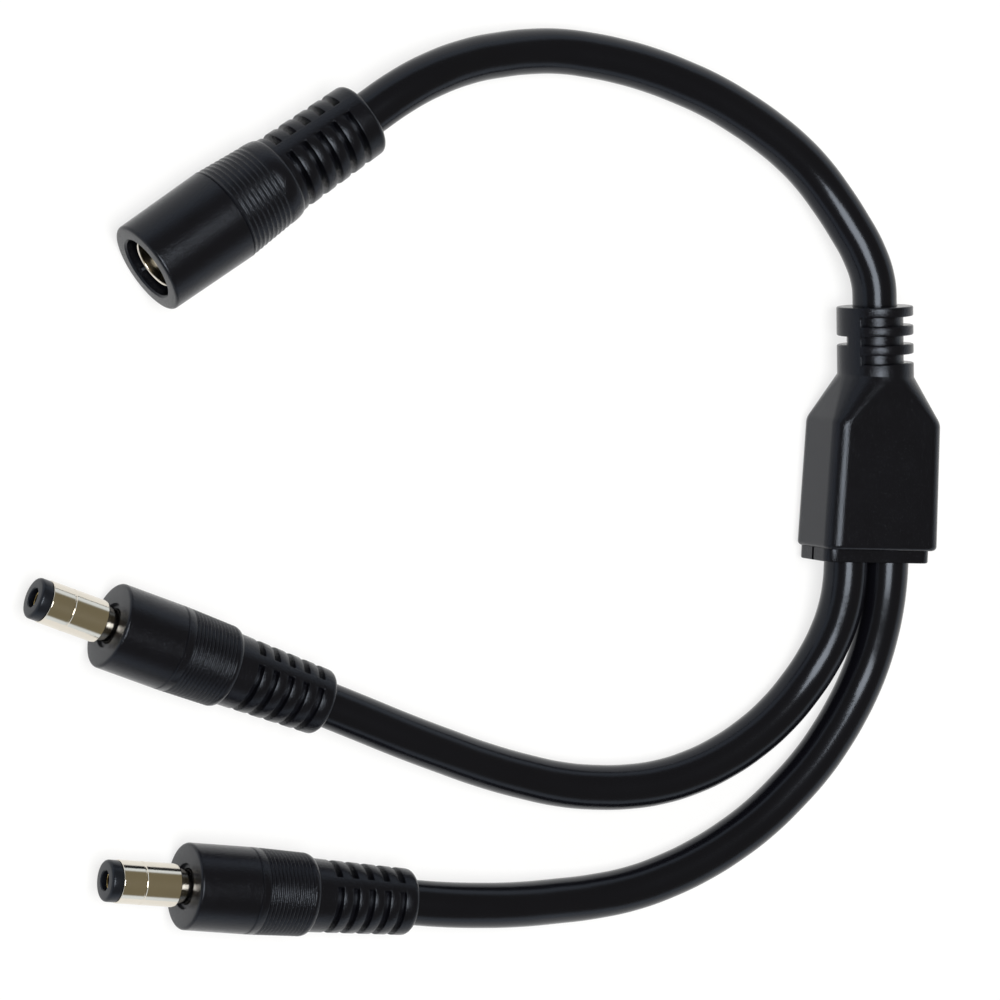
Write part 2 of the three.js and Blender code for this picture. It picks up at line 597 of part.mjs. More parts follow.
function blockBody() {
  const neck = NECK_DIAMETER / 2;
  const points = [
    ...section(SHOULDER_START, BLOCK_SHOULDER_WIDTH / 2, 0, BLOCK_THICKNESS, BLOCK_EDGE),
    ...section(NECK_START, neck, BLOCK_AXIS - neck, BLOCK_AXIS + neck, neck),
  ];
  for (let turn = 0; turn <= 2; turn += 1) {
    const angle = (turn / 2) * (Math.PI / 2);
    const y = -BLOCK_LENGTH / 2 + BLOCK_END_EDGE * (1 - Math.cos(angle));
    const inset = BLOCK_END_EDGE * (1 - Math.sin(angle));
    points.push(...section(
      y, BLOCK_WIDTH / 2 - inset, inset, BLOCK_THICKNESS - inset, BLOCK_EDGE - inset));
  }
  return solid(new ConvexGeometry(points));
}

function stepBody() {
  const half = BLOCK_WIDTH / 2 - STEP_INSET;
  const ends = [OUTLET, 0].map((y) => section(
    y, half, STEP_BASE_INSET, BLOCK_THICKNESS - STEP_TOP_INSET, STEP_EDGE));
  return solid(new ConvexGeometry(ends.flat()));
}

function neckGrooves() {
  const reach = NECK_DIAMETER / 2 + CUT_PAST;
  const grooves = [];
  for (let groove = 0; groove < NECK_RING_COUNT; groove += 1) {
    const start = NECK_COLLAR_LENGTH + groove * (NECK_RING_WIDTH + NECK_GROOVE_WIDTH);
    const middle = groove % 2 === 1;
    const width = middle ? NECK_MIDDLE_SPINE : NECK_BROAD_SPINE;
    const angle = middle ? NECK_MIDDLE_SPINE_ANGLE : NECK_BROAD_SPINE_ANGLE;
    const spine = new THREE.BoxGeometry(width, 4 * NECK_LENGTH, middle ? 2 * reach : reach);
    if (!middle) spine.translate(0, 0, reach / 2);
    const ring = pipe(
      2 * reach, NECK_DIAMETER - 2 * NECK_GROOVE_DEPTH, start, start + NECK_GROOVE_WIDTH);
    grooves.push(ring.subtract(solid(spine.rotateY(radians(angle)))));
  }
  return grooves;
}

// Splices: the two cores of each kind from the output cables meet the one from the input cable

const SPLICE_BORE = 2 * CORE_DIAMETER + 4 * SOLDER_CLEARANCE;
const SPLICE_DIAMETER = SPLICE_BORE + 2 * SPLICE_WALL;
const SPLICE_OFFSET = (SPLICE_DIAMETER + SPLICE_GAP) / 2;
const SPLICE_FRONT = SPLICE_PLACE + SPLICE_LENGTH / 2;
const SPLICE_BACK = SPLICE_PLACE - SPLICE_LENGTH / 2;
const OUTPUT_JACKET_END = OUTLET + BLOCK_OUTPUT_GRIP;

// From the end of a jacket a core bends to its splice, and runs straight on into it

function corePath(from, to, grip) {
  const points = [];
  for (let bend = 0; bend <= CORE_BENDS; bend += 1) {
    const share = bend / CORE_BENDS;
    const blend = THREE.MathUtils.smoothstep(share, 0, 1);
    const place = from.clone().lerp(to, blend);
    points.push(place.setY(THREE.MathUtils.lerp(from.y, to.y, share)));
  }
  return curve([...points, to.clone().setY(to.y + grip)]);
}

function inputCorePath(side) {
  const start = inNeck(NECK_LENGTH - BLOCK_INPUT_GRIP - END_CLEARANCE);
  start.setZ(BLOCK_AXIS + side * CORE_SPREAD);
  const entry = new THREE.Vector3(0, SPLICE_FRONT, BLOCK_AXIS + side * SPLICE_OFFSET);
  return corePath(start, entry, -SPLICE_GRIP);
}

function outputCorePath(side, x) {
  const start = new THREE.Vector3(x, OUTPUT_JACKET_END + END_CLEARANCE, BLOCK_AXIS + side * CORE_SPREAD);
  const beside = (Math.sign(x) * (CORE_DIAMETER + SOLDER_CLEARANCE)) / 2;
  const entry = new THREE.Vector3(beside, SPLICE_BACK, BLOCK_AXIS + side * SPLICE_OFFSET);
  return corePath(start, entry, SPLICE_GRIP);
}

function splice(side) {
  const ring = pipe(SPLICE_DIAMETER, SPLICE_BORE, SPLICE_BACK, SPLICE_FRONT);
  return surface(ring).translate(0, 0, BLOCK_AXIS + side * SPLICE_OFFSET);
}

const BLOCK_CORES = {
  input_positive_core: [inputCorePath(1), POSITIVE],
  input_negative_core: [inputCorePath(-1), NEGATIVE],
  output_1_positive_core: [outputCorePath(1, -OUTPUT_OFFSET), POSITIVE],
  output_1_negative_core: [outputCorePath(-1, -OUTPUT_OFFSET), NEGATIVE],
  output_2_positive_core: [outputCorePath(1, OUTPUT_OFFSET), POSITIVE],
  output_2_negative_core: [outputCorePath(-1, OUTPUT_OFFSET), NEGATIVE],
};

function junctionBody() {
  const bore = CABLE_DIAMETER + 2 * MOULD_CLEARANCE;
  const neck = leaned(rod(NECK_DIAMETER, -BLOCK_SHOULDER_LENGTH / 2, NECK_LENGTH));
  const body = joined([blockBody(), stepBody(), neck]);
  const inputBore = leaned(
    rod(bore, NECK_LENGTH - BLOCK_INPUT_GRIP - END_CLEARANCE, NECK_LENGTH + CUT_PAST));
  const outputBores = [-1, 1].map((side) => rod(
    bore, OUTLET - CUT_PAST, OUTPUT_JACKET_END + END_CLEARANCE)
    .translate([side * OUTPUT_OFFSET, 0, BLOCK_AXIS]));
  const pockets = [-1, 1].map((side) => rod(
    SPLICE_DIAMETER + 2 * MOULD_CLEARANCE, SPLICE_BACK - MOULD_CLEARANCE, SPLICE_FRONT + MOULD_CLEARANCE)
    .translate([0, 0, BLOCK_AXIS + side * SPLICE_OFFSET]));
  const cores = Object.values(BLOCK_CORES).map(([path]) => coreBore(extended(path)));
  return cutFrom(body, [...neckGrooves().map(leaned), inputBore, ...outputBores, ...pockets, ...cores]);
}

function junction() {
  const pieces = {
    junction_body: [surface(junctionBody()), MOULDING],
    positive_splice: [splice(1), BRASS],
    negative_splice: [splice(-1), BRASS],
  };
  for (const [name, [path, material]] of Object.entries(BLOCK_CORES)) {
    pieces[name] = [core(path), material];
  }
  return connector({ x: 0, y: 0, heading: 90 }, 0, pieces);
}

// Cables: straight inside each moulding, and along the chosen points between them

function insideConnector(place, height, sizes, depth) {
  const angle = radians(place.heading);
  const back = -bodyLength(sizes) + depth;
  return new THREE.Vector3(place.x + back * Math.cos(angle), place.y + back * Math.sin(angle), height);
}

function connectorEnd(place, sizes) {
  const at = (depth) => insideConnector(place, sizes.diameter / 2, sizes, depth);
  return [at(sizes.jacketGrip), at(sizes.jacketGrip / 2), at(0)];
}

function outletEnd(x) {
  const at = (y) => new THREE.Vector3(x, y, BLOCK_AXIS);
  return [at(OUTPUT_JACKET_END), at((OUTPUT_JACKET_END + OUTLET) / 2), at(OUTLET)];
}

function cable(name, start, route, end) {
  const free = route.map(([x, y, z]) => new THREE.Vector3(x, y, z));
  const path = curve([...start, ...free, ...end]);
  const mesh = new THREE.Mesh(tube(path, CABLE_DIAMETER, CABLE_SIDES, CABLE_STEP), JACKET);
  mesh.name = name;
  return mesh;
}

const neckEnd = [
  inNeck(NECK_LENGTH), inNeck(NECK_LENGTH - BLOCK_INPUT_GRIP / 2), inNeck(NECK_LENGTH - BLOCK_INPUT_GRIP),
];

const splitterCable = new THREE.Group();
splitterCable.add(
  jack(JACK_PLACE),
  plug('plug_1', PLUG_1_PLACE),
  plug('plug_2', PLUG_2_PLACE),
  junction(),
  cable('input_cable', connectorEnd(JACK_PLACE, JACK_SIZES), INPUT_ROUTE, neckEnd),
  cable('output_cable_1', outletEnd(-OUTPUT_OFFSET), OUTPUT_1_ROUTE,
    connectorEnd(PLUG_1_PLACE, PLUG_SIZES).reverse()),
  cable('output_cable_2', outletEnd(OUTPUT_OFFSET), OUTPUT_2_ROUTE,
    connectorEnd(PLUG_2_PLACE, PLUG_SIZES).reverse()),
);

export default splitterCable;
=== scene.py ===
import json
import math

import bmesh
import bpy
from mathutils import Matrix, Vector


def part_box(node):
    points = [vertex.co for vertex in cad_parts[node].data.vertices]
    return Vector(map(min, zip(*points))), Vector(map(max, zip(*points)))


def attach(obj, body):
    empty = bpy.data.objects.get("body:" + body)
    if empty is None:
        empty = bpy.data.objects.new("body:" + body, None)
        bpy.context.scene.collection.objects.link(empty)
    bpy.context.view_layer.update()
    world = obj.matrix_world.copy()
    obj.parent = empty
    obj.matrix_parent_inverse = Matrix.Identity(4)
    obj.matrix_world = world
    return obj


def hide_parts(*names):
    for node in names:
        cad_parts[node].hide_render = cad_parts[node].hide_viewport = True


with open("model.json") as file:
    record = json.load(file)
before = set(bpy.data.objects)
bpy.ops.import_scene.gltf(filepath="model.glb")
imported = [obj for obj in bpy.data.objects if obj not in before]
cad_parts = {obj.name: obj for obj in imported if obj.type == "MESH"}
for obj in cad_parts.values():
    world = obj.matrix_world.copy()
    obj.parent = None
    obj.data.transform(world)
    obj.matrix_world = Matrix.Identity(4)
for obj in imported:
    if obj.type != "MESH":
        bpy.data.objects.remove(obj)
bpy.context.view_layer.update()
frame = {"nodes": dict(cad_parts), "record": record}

bl_info = {
    "name": "DC splitter cable",
    "version": (1, 0, 0),
    "blender": (4, 5, 0),
    "location": "View3D > Sidebar > Splitter cable",
    "description": "Builds a splitter cable with one jack, a junction block and two barrel plugs",
    "category": "Object",
}

MM = 0.001

# Smoothness of the shapes
PLUG_STEPS = 124
JACK_STEPS = 106
HALF_SPINE_STEPS = 3  # of a plug's or the jack's steps, on either side of a spine's middle
NECK_STEPS = 144
METAL_STEPS = 96
ARC_STEPS = 5
RING_STEPS = 8
SECTION_STEPS = 10
END_EDGE_STEPS = 4
BEND_STEPS = 3
FINE_STEPS = 2
CORD_STEPS = 8
CORD_ROUNDNESS = 14
WELD = 0.001 * MM
SHARP = math.radians(38)
RIM_ANGLE = math.radians(50)


# Sizes and colours that a user would change

def length(name, description, millimetres):
    return bpy.props.FloatProperty(
        name=name, description=description, default=millimetres * MM, min=0.0, unit="LENGTH")


def turn(name, description, degrees):
    return bpy.props.FloatProperty(
        name=name, description=description, default=math.radians(degrees), unit="ROTATION")


def count(name, description, number):
    return bpy.props.IntProperty(name=name, description=description, default=number, min=1)


def colour(name, description, value):
    return bpy.props.FloatVectorProperty(
        name=name, description=description, default=value, min=0.0, max=1.0, size=3, subtype="COLOR")


def share(name, description, value):
    return bpy.props.FloatProperty(
        name=name, description=description, default=value, min=0.0, max=1.0, subtype="FACTOR")


class CableSizes(bpy.types.PropertyGroup):
    diameter: length("Diameter", "Outside of each cable's jacket", 5.8)
    separation: length("Separation", "Between the two cables where they leave the block", 0.2)
    clearance: length("Clearance", "Room round a cable in its moulding", 0.15)


class PlugSizes(bpy.types.PropertyGroup):
    face_diameter: length("Face diameter", "Moulded body at its front face", 11.0)
    diameter: length("Diameter", "Moulded body behind the front face", 11.0)
    ring_end_diameter: length("Ring end diameter", "Behind the last fine ring", 10.6)
    relief_diameter: length("Relief diameter", "Strain relief at its thick end", 9.4)
    relief_end_diameter: length("Relief end diameter", "Strain relief at its thin end", 8.5)
    front: length("Front", "From the face to the seam", 8.5)
    plain: length("Plain", "Between the seam and the first ring", 1.0)
    rings: length("Rings", "Stretch with fine rings", 6.4)
    ring_count: count("Ring count", "Number of fine rings", 12)
    shoulder: length("Shoulder", "Round step behind the rings", 0.9)
    first_slot: length("First slot", "From the shoulder to the first slot", 2.4)
    last_land: length("Last land", "Plain end behind the last slot", 2.1)
    slot_count: count("Slot count", "Number of slots in the strain relief", 5)
    slot_pitch: length("Slot pitch", "From slot to slot", 2.22)
    slot_width: length("Slot width", "Opening of each slot", 0.9)
    spine_angle: turn("Spine angle", "The two spines' place, from straight up", 30)
    grip: length("Grip", "Length of cable inside the moulding", 17.0)
    barrel_diameter: length("Barrel diameter", "Outside of the barrel", 5.5)
    barrel_length: length("Barrel length", "Barrel in front of its neck", 7.9)
    barrel_bore: length("Barrel bore", "Inside of the barrel", 3.7)
    groove_place: length("Groove place", "Groove behind the barrel's front end", 3.1)
    groove_width: length("Groove width", "Width of that groove", 0.3)
    groove_depth: length("Groove depth", "Depth of that groove", 0.12)
    neck_diameter: length("Neck diameter", "Between the body and the barrel", 4.4)
    neck_length: length("Neck length", "Between the body and the barrel", 1.4)
    stem: length("Stem", "Barrel's stem inside the body", 6.0)
    flange_diameter: length("Flange diameter", "At the end of the stem", 6.6)
    flange_length: length("Flange length", "Along the stem", 1.4)
    tip_diameter: length("Tip diameter", "Black tip in front of the barrel", 5.3)
    tip_length: length("Tip length", "In front of the barrel", 1.5)
    tip_hole: length("Tip hole", "Opening for the pin", 2.5)
    tip_shell: length("Tip shell", "Tip in front of the contact", 0.8)
    insulator_wall: length("Insulator wall", "Round the contact", 0.28)
    contact_bore_depth: length("Contact bore depth", "Depth of the hole for the pin", 10.0)
    tail_length: length("Tail length", "Solder tail behind the contact", 2.2)


class JackSizes(bpy.types.PropertyGroup):
    face_diameter: length("Face diameter", "Moulded body at its front face", 12.2)
    diameter: length("Diameter", "Moulded body at the seam", 12.5)
    ring_end_diameter: length("Ring end diameter", "Behind the last fine ring", 11.5)
    relief_diameter: length("Relief diameter", "Strain relief at its thick end", 10.5)
    relief_end_diameter: length("Relief end diameter", "Strain relief at its thin end", 9.9)
    front: length("Front", "From the face to the seam", 12.3)
    plain: length("Plain", "Between the seam and the first ring", 0.2)
    rings: length("Rings", "Stretch with fine rings", 6.6)
    ring_count: count("Ring count", "Number of fine rings", 9)
    shoulder: length("Shoulder", "Round step behind the rings", 2.0)
    first_slot: length("First slot", "From the shoulder to the first slot", 0.8)
    last_land: length("Last land", "Plain end behind the last slot", 2.7)
    slot_count: count("Slot count", "Number of slots in the strain relief", 5)
    slot_pitch: length("Slot pitch", "From slot to slot", 2.32)
    slot_width: length("Slot width", "Opening of each slot", 0.95)
    spine_angle: turn("Spine angle", "The two spines' place, from straight up", 46)
    grip: length("Grip", "Length of cable inside the moulding", 14.5)
    mouth_diameter: length("Mouth diameter", "Opening in the front face", 8.2)
    insert_recess: length("Insert recess", "Insert behind the front face", 2.6)
    insert_wall: length("Insert wall", "Insert behind the sleeve", 1.8)
    sleeve_diameter: length("Sleeve diameter", "Outside of the metal sleeve", 6.9)
    sleeve_wall: length("Sleeve wall", "Thickness of the sleeve", 0.45)
    sleeve_recess: length("Sleeve recess", "Sleeve behind the front face", 1.1)
    sleeve_length: length("Sleeve length", "Length of the sleeve", 10.9)
    sleeve_rim: length("Sleeve rim", "Inward rim at the sleeve's back", 0.65)
    sleeve_rim_thickness: length("Rim thickness", "Thickness of that rim", 0.5)
    pin_diameter: length("Pin diameter", "Centre pin", 2.0)
    pin_recess: length("Pin recess", "Pin's nose behind the front face", 3.0)
    tail_length: length("Tail length", "Solder tail behind the insert", 2.6)
    rib_width: length("Key rib width", "Small rib beside the sleeve", 0.45)
    rib_height: length("Key rib height", "From the mouth's wall inwards", 0.5)
    rib_recess: length("Key rib recess", "Rib behind the front face", 0.7)
    rib_angle: turn("Key rib angle", "The rib's place, from straight up", 192)


class BlockSizes(bpy.types.PropertyGroup):
    width: length("Width", "Where the two cables leave", 16.6)
    shoulder_width: length("Shoulder width", "Where the shoulder starts", 15.8)
    thickness: length("Thickness", "From the resting face to the top", 10.4)
    body_length: length("Length", "From the step to the shoulder", 16.6)
    shoulder_length: length("Shoulder length", "From the shoulder to the neck", 5.9)
    edge: length("Edge", "Round of the long edges", 2.0)
    end_edge: length("End edge", "Round of the edges next to the step", 0.6)
    shoulder_edge: length("Shoulder edge", "Round of the bend at the shoulder", 0.5)
    step_length: length("Step length", "Narrower end round the two cables", 1.7)
    step_inset: length("Step inset", "At either side", 0.6)
    step_top_inset: length("Step top inset", "Below the block's top", 1.5)
    step_base_inset: length("Step base inset", "Above the resting face", 0.4)
    step_edge: length("Step edge", "Round of the step's long edges", 1.5)
    notch_height: length("Notch height", "Parting notch in the step's sides", 0.5)
    notch_depth: length("Notch depth", "Parting notch in the step's sides", 0.45)
    neck_diameter: length("Neck diameter", "Ringed neck round the jack's cable", 10.0)
    neck_lean: turn("Neck lean", "Towards the jack", 4)
    collar: length("Collar", "Plain start of the neck", 1.7)
    ring_width: length("Ring width", "Each ring of the neck", 1.3)
    groove_width: length("Groove width", "Each groove of the neck", 1.15)
    groove_depth: length("Groove depth", "Each groove of the neck", 1.3)
    ring_count: count("Ring count", "Rings of the neck", 3)
    broad_spine: length("Broad spine", "The one spine of the outer grooves", 7.0)
    broad_spine_angle: turn("Broad spine angle", "From straight up", -95)
    middle_spine: length("Middle spine", "The two spines of the middle groove", 2.2)
    middle_spine_angle: turn("Middle spine angle", "From straight up", -62)
    input_grip: length("Input grip", "Jack's cable inside neck and shoulder", 15.5)
    output_grip: length("Output grip", "Each output cable inside the block", 3.6)


class FinishColours(bpy.types.PropertyGroup):
    moulding: colour("Moulding", "Soft black of the moulded bodies", (0.0034, 0.0034, 0.0052))
    moulding_roughness: share("Moulding roughness", "Satin of the moulded bodies", 0.2)
    jacket: colour("Jacket", "Black of the cables", (0.0033, 0.0033, 0.005))
    jacket_roughness: share("Jacket roughness", "Soft gloss of the cables", 0.2)
    insulator: colour("Insulator", "Hard black plastic", (0.006, 0.007, 0.01))
    insulator_roughness: share("Insulator roughness", "Gloss of the hard plastic", 0.3)
    nickel: colour("Nickel", "Plated metal", (0.8, 0.75, 0.66))
    nickel_roughness: share("Nickel roughness", "Polish of the plating", 0.13)
    brass: colour("Brass", "Contacts and splices", (0.62, 0.45, 0.2))
    brass_roughness: share("Brass roughness", "Polish of the brass", 0.24)
    positive: colour("Positive core", "Insulation of the positive cores", (0.4, 0.02, 0.015))
    negative: colour("Negative core", "Insulation of the negative cores", (0.015, 0.015, 0.018))
    core_roughness: share("Core roughness", "Satin of the cores", 0.45)
    shine: share("Shine", "Strength of the plastics' reflections", 0.27)
    sheen: colour("Sheen", "Cool tint of the plastics' reflections", (0.8, 0.88, 1.0))
    dust: colour("Dust", "Pale specks", (0.16, 0.16, 0.165))


class StageSettings(bpy.types.PropertyGroup):
    azimuth: turn("Azimuth", "From the object to the camera, seen from above", 173)
    elevation: turn("Elevation", "From the object up to the camera", 63.5)
    upright: turn("Upright", "Direction on the table that is up in the picture", 93)
    distance: length("Distance", "From the target to the camera", 950)
    focal_length: bpy.props.FloatProperty(
        name="Focal length", description="Of the camera, in millimetres", default=268.5, min=1.0)
    light_distance: length("Light distance", "From the target to the softbox", 2000)
    light_size: length("Light size", "Side of the square softbox", 1000)
    light_tilt: turn("Light tilt", "Softbox from straight overhead towards -X", 11)
    light_power: bpy.props.FloatProperty(
        name="Light power", description="Of the softbox, in watts", default=40.0, min=0.0)
    floor_size: length("Floor size", "From the middle of the floor to its edge", 4000)
    floor: colour("Floor", "Pale surface that the object lies on", (0.96, 0.96, 0.96))
    floor_glow: share("Floor glow", "Part of the floor that the camera sees as plain white", 0.75)
    ceiling: colour("Ceiling", "Dim light from above the bright band", (0.2, 0.175, 0.115))
    horizon: colour("Horizon", "Cool white light of the bright band", (0.86, 0.93, 1.0))
    bright_band: turn("Bright band", "White light from the horizon up to here", 20)


class SplitterCable(bpy.types.PropertyGroup):
    cable: bpy.props.PointerProperty(type=CableSizes)
    plug: bpy.props.PointerProperty(type=PlugSizes)
    jack: bpy.props.PointerProperty(type=JackSizes)
    block: bpy.props.PointerProperty(type=BlockSizes)
    finish: bpy.props.PointerProperty(type=FinishColours)
    stage: bpy.props.PointerProperty(type=StageSettings)


# Small details that stay as they are
FACE_EDGE = 0.4 * MM
RELIEF_END_EDGE = 0.8 * MM
SEAM_DEPTH = 0.12 * MM
SEAM_WIDTH = 0.3 * MM
RING_DEPTH = 0.17 * MM
SLOT_FLOOR_WALL = 0.55 * MM
SLOT_RIM = 0.12 * MM
NECK_RIM = 0.2 * MM
CABLE_LIP = 1.0 * MM
LIP_CLEARANCE = 0.06 * MM
METAL_EDGE = 0.12 * MM
FACE_RECESS = 0.4 * MM
TIP_EDGE = 0.42 * MM
RIB_EDGE = 0.08 * MM
HOLE_EDGE = 0.12 * MM
FIT_CLEARANCE = 0.05 * MM
END_CLEARANCE = 0.3 * MM
TAIL_DIAMETER = 1.4 * MM
CORE_DIAMETER = 1.6 * MM
CORE_SPREAD = 1.5 * MM
LUG_WIDTH = 1.6 * MM
LUG_THICKNESS = 0.5 * MM
LUG_LAP = 1.8 * MM
SOLDER_CLEARANCE = 0.1 * MM
BLOCK_ROOM_WIDTH = 8.0 * MM
BLOCK_ROOM_WALL = 0.7 * MM
NEARLY_ROUND = 0.98  # corner of the shoulder's small end, as a share of a full round

# Free stretches of the three cables, in millimetres, from one moulding to the other
INPUT_ROUTE = [
    (-70.9, 48.0, 6.2), (-66.3, 50.4, 5.7), (-60.6, 52.4, 4.7), (-55.8, 53.4, 3.9),
    (-51.3, 54.0, 3.3), (-46.9, 54.2, 3.0), (-42.6, 53.9, 3.0), (-38.3, 53.3, 3.0),
    (-34.0, 52.4, 3.0), (-29.5, 51.1, 3.0), (-25.0, 49.5, 3.0), (-20.7, 47.5, 3.0),
    (-16.7, 45.3, 3.0), (-12.9, 42.8, 3.0), (-9.6, 40.0, 3.1), (-6.9, 36.9, 3.5),
    (-4.5, 33.5, 4.2), (-2.5, 30.1, 4.9), (-1.1, 26.6, 5.2),
]
OUTPUT_1_ROUTE = [
    (-3.0, -13.0, 5.1), (-3.3, -16.4, 4.7), (-4.1, -19.8, 4.1), (-5.5, -23.2, 3.5),
    (-7.6, -26.6, 3.1), (-10.8, -30.3, 3.0), (-14.8, -33.6, 3.0), (-19.1, -36.2, 3.0),
    (-23.3, -38.0, 3.0), (-27.6, -39.2, 3.0), (-32.0, -39.8, 3.0), (-36.8, -39.9, 3.0),
    (-42.0, -39.5, 3.1), (-47.8, -38.4, 3.5), (-53.8, -36.9, 4.1), (-60.0, -35.0, 4.8),
    (-66.1, -33.0, 5.3), (-72.0, -30.9, 5.5),
]
OUTPUT_2_ROUTE = [
    (3.0, -13.0, 5.1), (2.9, -16.4, 4.7), (2.6, -19.8, 4.1), (2.0, -23.2, 3.5),
    (0.9, -26.6, 3.1), (-0.6, -29.7, 3.0), (-2.6, -33.0, 3.0), (-5.4, -36.8, 3.0),
    (-9.0, -40.6, 3.0), (-12.7, -43.9, 3.0), (-16.8, -46.8, 3.0), (-21.2, -49.3, 3.0),
    (-26.0, -51.4, 3.0), (-31.0, -53.0, 3.0), (-36.6, -54.0, 3.2), (-42.4, -54.5, 3.8),
    (-48.3, -54.8, 4.6), (-54.0, -54.8, 5.2), (-59.6, -54.6, 5.5),
]
PHOTO_TARGET = Vector((-52.51, -3.15, 3.0)) * MM  # in the middle of the picture


# Shader nodes

WHITE = (1.0, 1.0, 1.0)
TURNED_MAP = "Turned"
BROAD_PATCHES = 0.06  # patches of uneven tone and gloss for each grain
PALER = 1.35  # patches on plastic
DARKER_PLATE = 0.82  # patches on turned metal
DARKER_SHEET = 0.75  # patches on sheet brass
POLISH_SPREAD = 0.4  # unevenness of turned metal, as a share of its roughness
SHEET_SPREAD = 0.3  # and of sheet brass
SHEET_GRAIN_DEPTH = 0.01 * MM
LATHE_LINES = 9000.0  # per metre
PLATE_GRAINS = 2500.0  # per metre
SHEET_GRAINS = 3000.0  # per metre
DUST_CELLS = 420.0  # per metre
DUST_RADIUS = 0.045  # of a speck, in cells
DUST_UPWARD = 0.2  # dust lies where the surface faces up more than this
PAPER_GRAINS = 600.0  # of the floor, per metre
BAND_SOFTNESS = 0.2  # upper edge of the bright band, as a share of its height

# The Mix node's sockets go by number, because several have the same name
MIX_FACTOR, MIX_FIRST, MIX_SECOND, MIX_RESULT = 0, 6, 7, 2


def add(tree, kind, inputs=None, **settings):
    """Add a shader node, with values or links for its inputs."""
    node = tree.nodes.new("ShaderNode" + kind)
    for name, value in settings.items():
        setattr(node, name, value)
    for name, value in (inputs or {}).items():
        if isinstance(value, bpy.types.NodeSocket):
            tree.links.new(value, node.inputs[name])
        else:
            node.inputs[name].default_value = value
    return node


def calculate(tree, operation, *values):
    return add(tree, "Math", dict(enumerate(values)), operation=operation).outputs["Value"]


def ranged(tree, value, low, high):
    """Spread a mask from 0 and 1 to two other values."""
    return add(tree, "MapRange", {"Value": value, "To Min": low, "To Max": high}).outputs["Result"]


def mixed(tree, mask, first, second):
    """Mix two colours by a mask."""
    node = add(tree, "Mix", {MIX_FACTOR: mask}, data_type="RGBA")
    for socket, value in ((node.inputs[MIX_FIRST], first), (node.inputs[MIX_SECOND], second)):
        if isinstance(value, bpy.types.NodeSocket):
            tree.links.new(value, socket)
        else:
            socket.default_value = (*value, 1.0)
    return node.outputs[MIX_RESULT]


def start_group(name, inputs, outputs):
    """Start a node group with number sockets; returns its tree, its inputs and its output node."""
    tree = bpy.data.node_groups.new(name, "ShaderNodeTree")
    for socket in inputs:
        tree.interface.new_socket(socket, in_out="INPUT", socket_type="NodeSocketFloat")
    for socket in outputs:
        tree.interface.new_socket(socket, in_out="OUTPUT", socket_type="NodeSocketFloat")
    source = tree.nodes.new("NodeGroupInput")
    return tree, source.outputs, tree.nodes.new("NodeGroupOutput")


def grain_group():
    """Fine grain: its height, and a mask of broad patches where tone and gloss differ slightly."""
    tree, given, result = start_group("Moulded grain", ["Grains per metre"], ["Height", "Patches"])
    place = add(tree, "TexCoord").outputs["Object"]
    grain = add(tree, "TexNoise", {
        "Vector": place, "Scale": given["Grains per metre"], "Detail": 2.0, "Roughness": 0.6})
    broad = calculate(tree, "MULTIPLY", given["Grains per metre"], BROAD_PATCHES)
    patches = add(tree, "TexNoise", {"Vector": place, "Scale": broad, "Detail": 3.0})
    tree.links.new(grain.outputs["Fac"], result.inputs["Height"])
    tree.links.new(patches.outputs["Fac"], result.inputs["Patches"])
    return tree


def dust_group():
    """A few specks of dust on what faces up."""
    tree, given, result = start_group("Dust", ["Cells per metre", "Amount", "Radius"], ["Mask"])
    place = add(tree, "TexCoord").outputs["Object"]
    cells = add(tree, "TexVoronoi", {"Vector": place, "Scale": given["Cells per metre"]})
    inside = calculate(tree, "LESS_THAN", cells.outputs["Distance"], given["Radius"])
    draw = add(tree, "SeparateColor", {"Color": cells.outputs["Color"]}).outputs["Red"]
    chosen = calculate(tree, "LESS_THAN", draw, given["Amount"])
    facing = add(tree, "SeparateXYZ", {"Vector": add(tree, "NewGeometry").outputs["Normal"]})
    upward = calculate(tree, "GREATER_THAN", facing.outputs["Z"], DUST_UPWARD)
    mask = calculate(tree, "MULTIPLY", calculate(tree, "MULTIPLY", inside, chosen), upward)
    tree.links.new(mask, result.inputs["Mask"])
    return tree


def turned_group():
    """Fine lines that a lathe leaves round a turned part, from the part's own map."""
    tree, given, result = start_group("Turned lines", ["Lines per metre"], ["Height"])
    along = add(tree, "SeparateXYZ", {"Vector": add(tree, "UVMap", uv_map=TURNED_MAP).outputs["UV"]})
    lines = add(tree, "TexNoise", {
        "W": along.outputs["Y"], "Scale": given["Lines per metre"], "Detail": 2.0,
    }, noise_dimensions="1D")
    tree.links.new(lines.outputs["Fac"], result.inputs["Height"])
    return tree


def placed_group(tree, name, **values):
    """Place a shared node group, built once, with this material's own values."""
    makers = {"Moulded grain": grain_group, "Dust": dust_group, "Turned lines": turned_group}
    node = tree.nodes.new("ShaderNodeGroup")
    node.node_tree = bpy.data.node_groups.get(name) or makers[name]()
    for socket, value in values.items():
        node.inputs[socket.replace("_", " ")].default_value = value
    return node.outputs


def bare_tree(holder):
    """The node tree of a new material or world, emptied."""
    holder.use_nodes = True
    holder.node_tree.nodes.clear()
    return holder.node_tree


def start_material(name):
    """A material with only a Principled shader; returns the material, its tree and the shader."""
    material = bpy.data.materials.new(name)
    tree = bare_tree(material)
    shader = add(tree, "BsdfPrincipled")
    add(tree, "OutputMaterial", {"Surface": shader.outputs["BSDF"]})
    return material, tree, shader


def link_surface(tree, shader, base, roughness, height, depth):
    """Link a finish's colour, its roughness and the height of its fine relief to its shader."""
    bump = add(tree, "Bump", {"Height": height, "Distance": depth, "Strength": 1.0})
    tree.links.new(base, shader.inputs["Base Color"])
    tree.links.new(roughness, shader.inputs["Roughness"])
    tree.links.new(bump.outputs["Normal"], shader.inputs["Normal"])


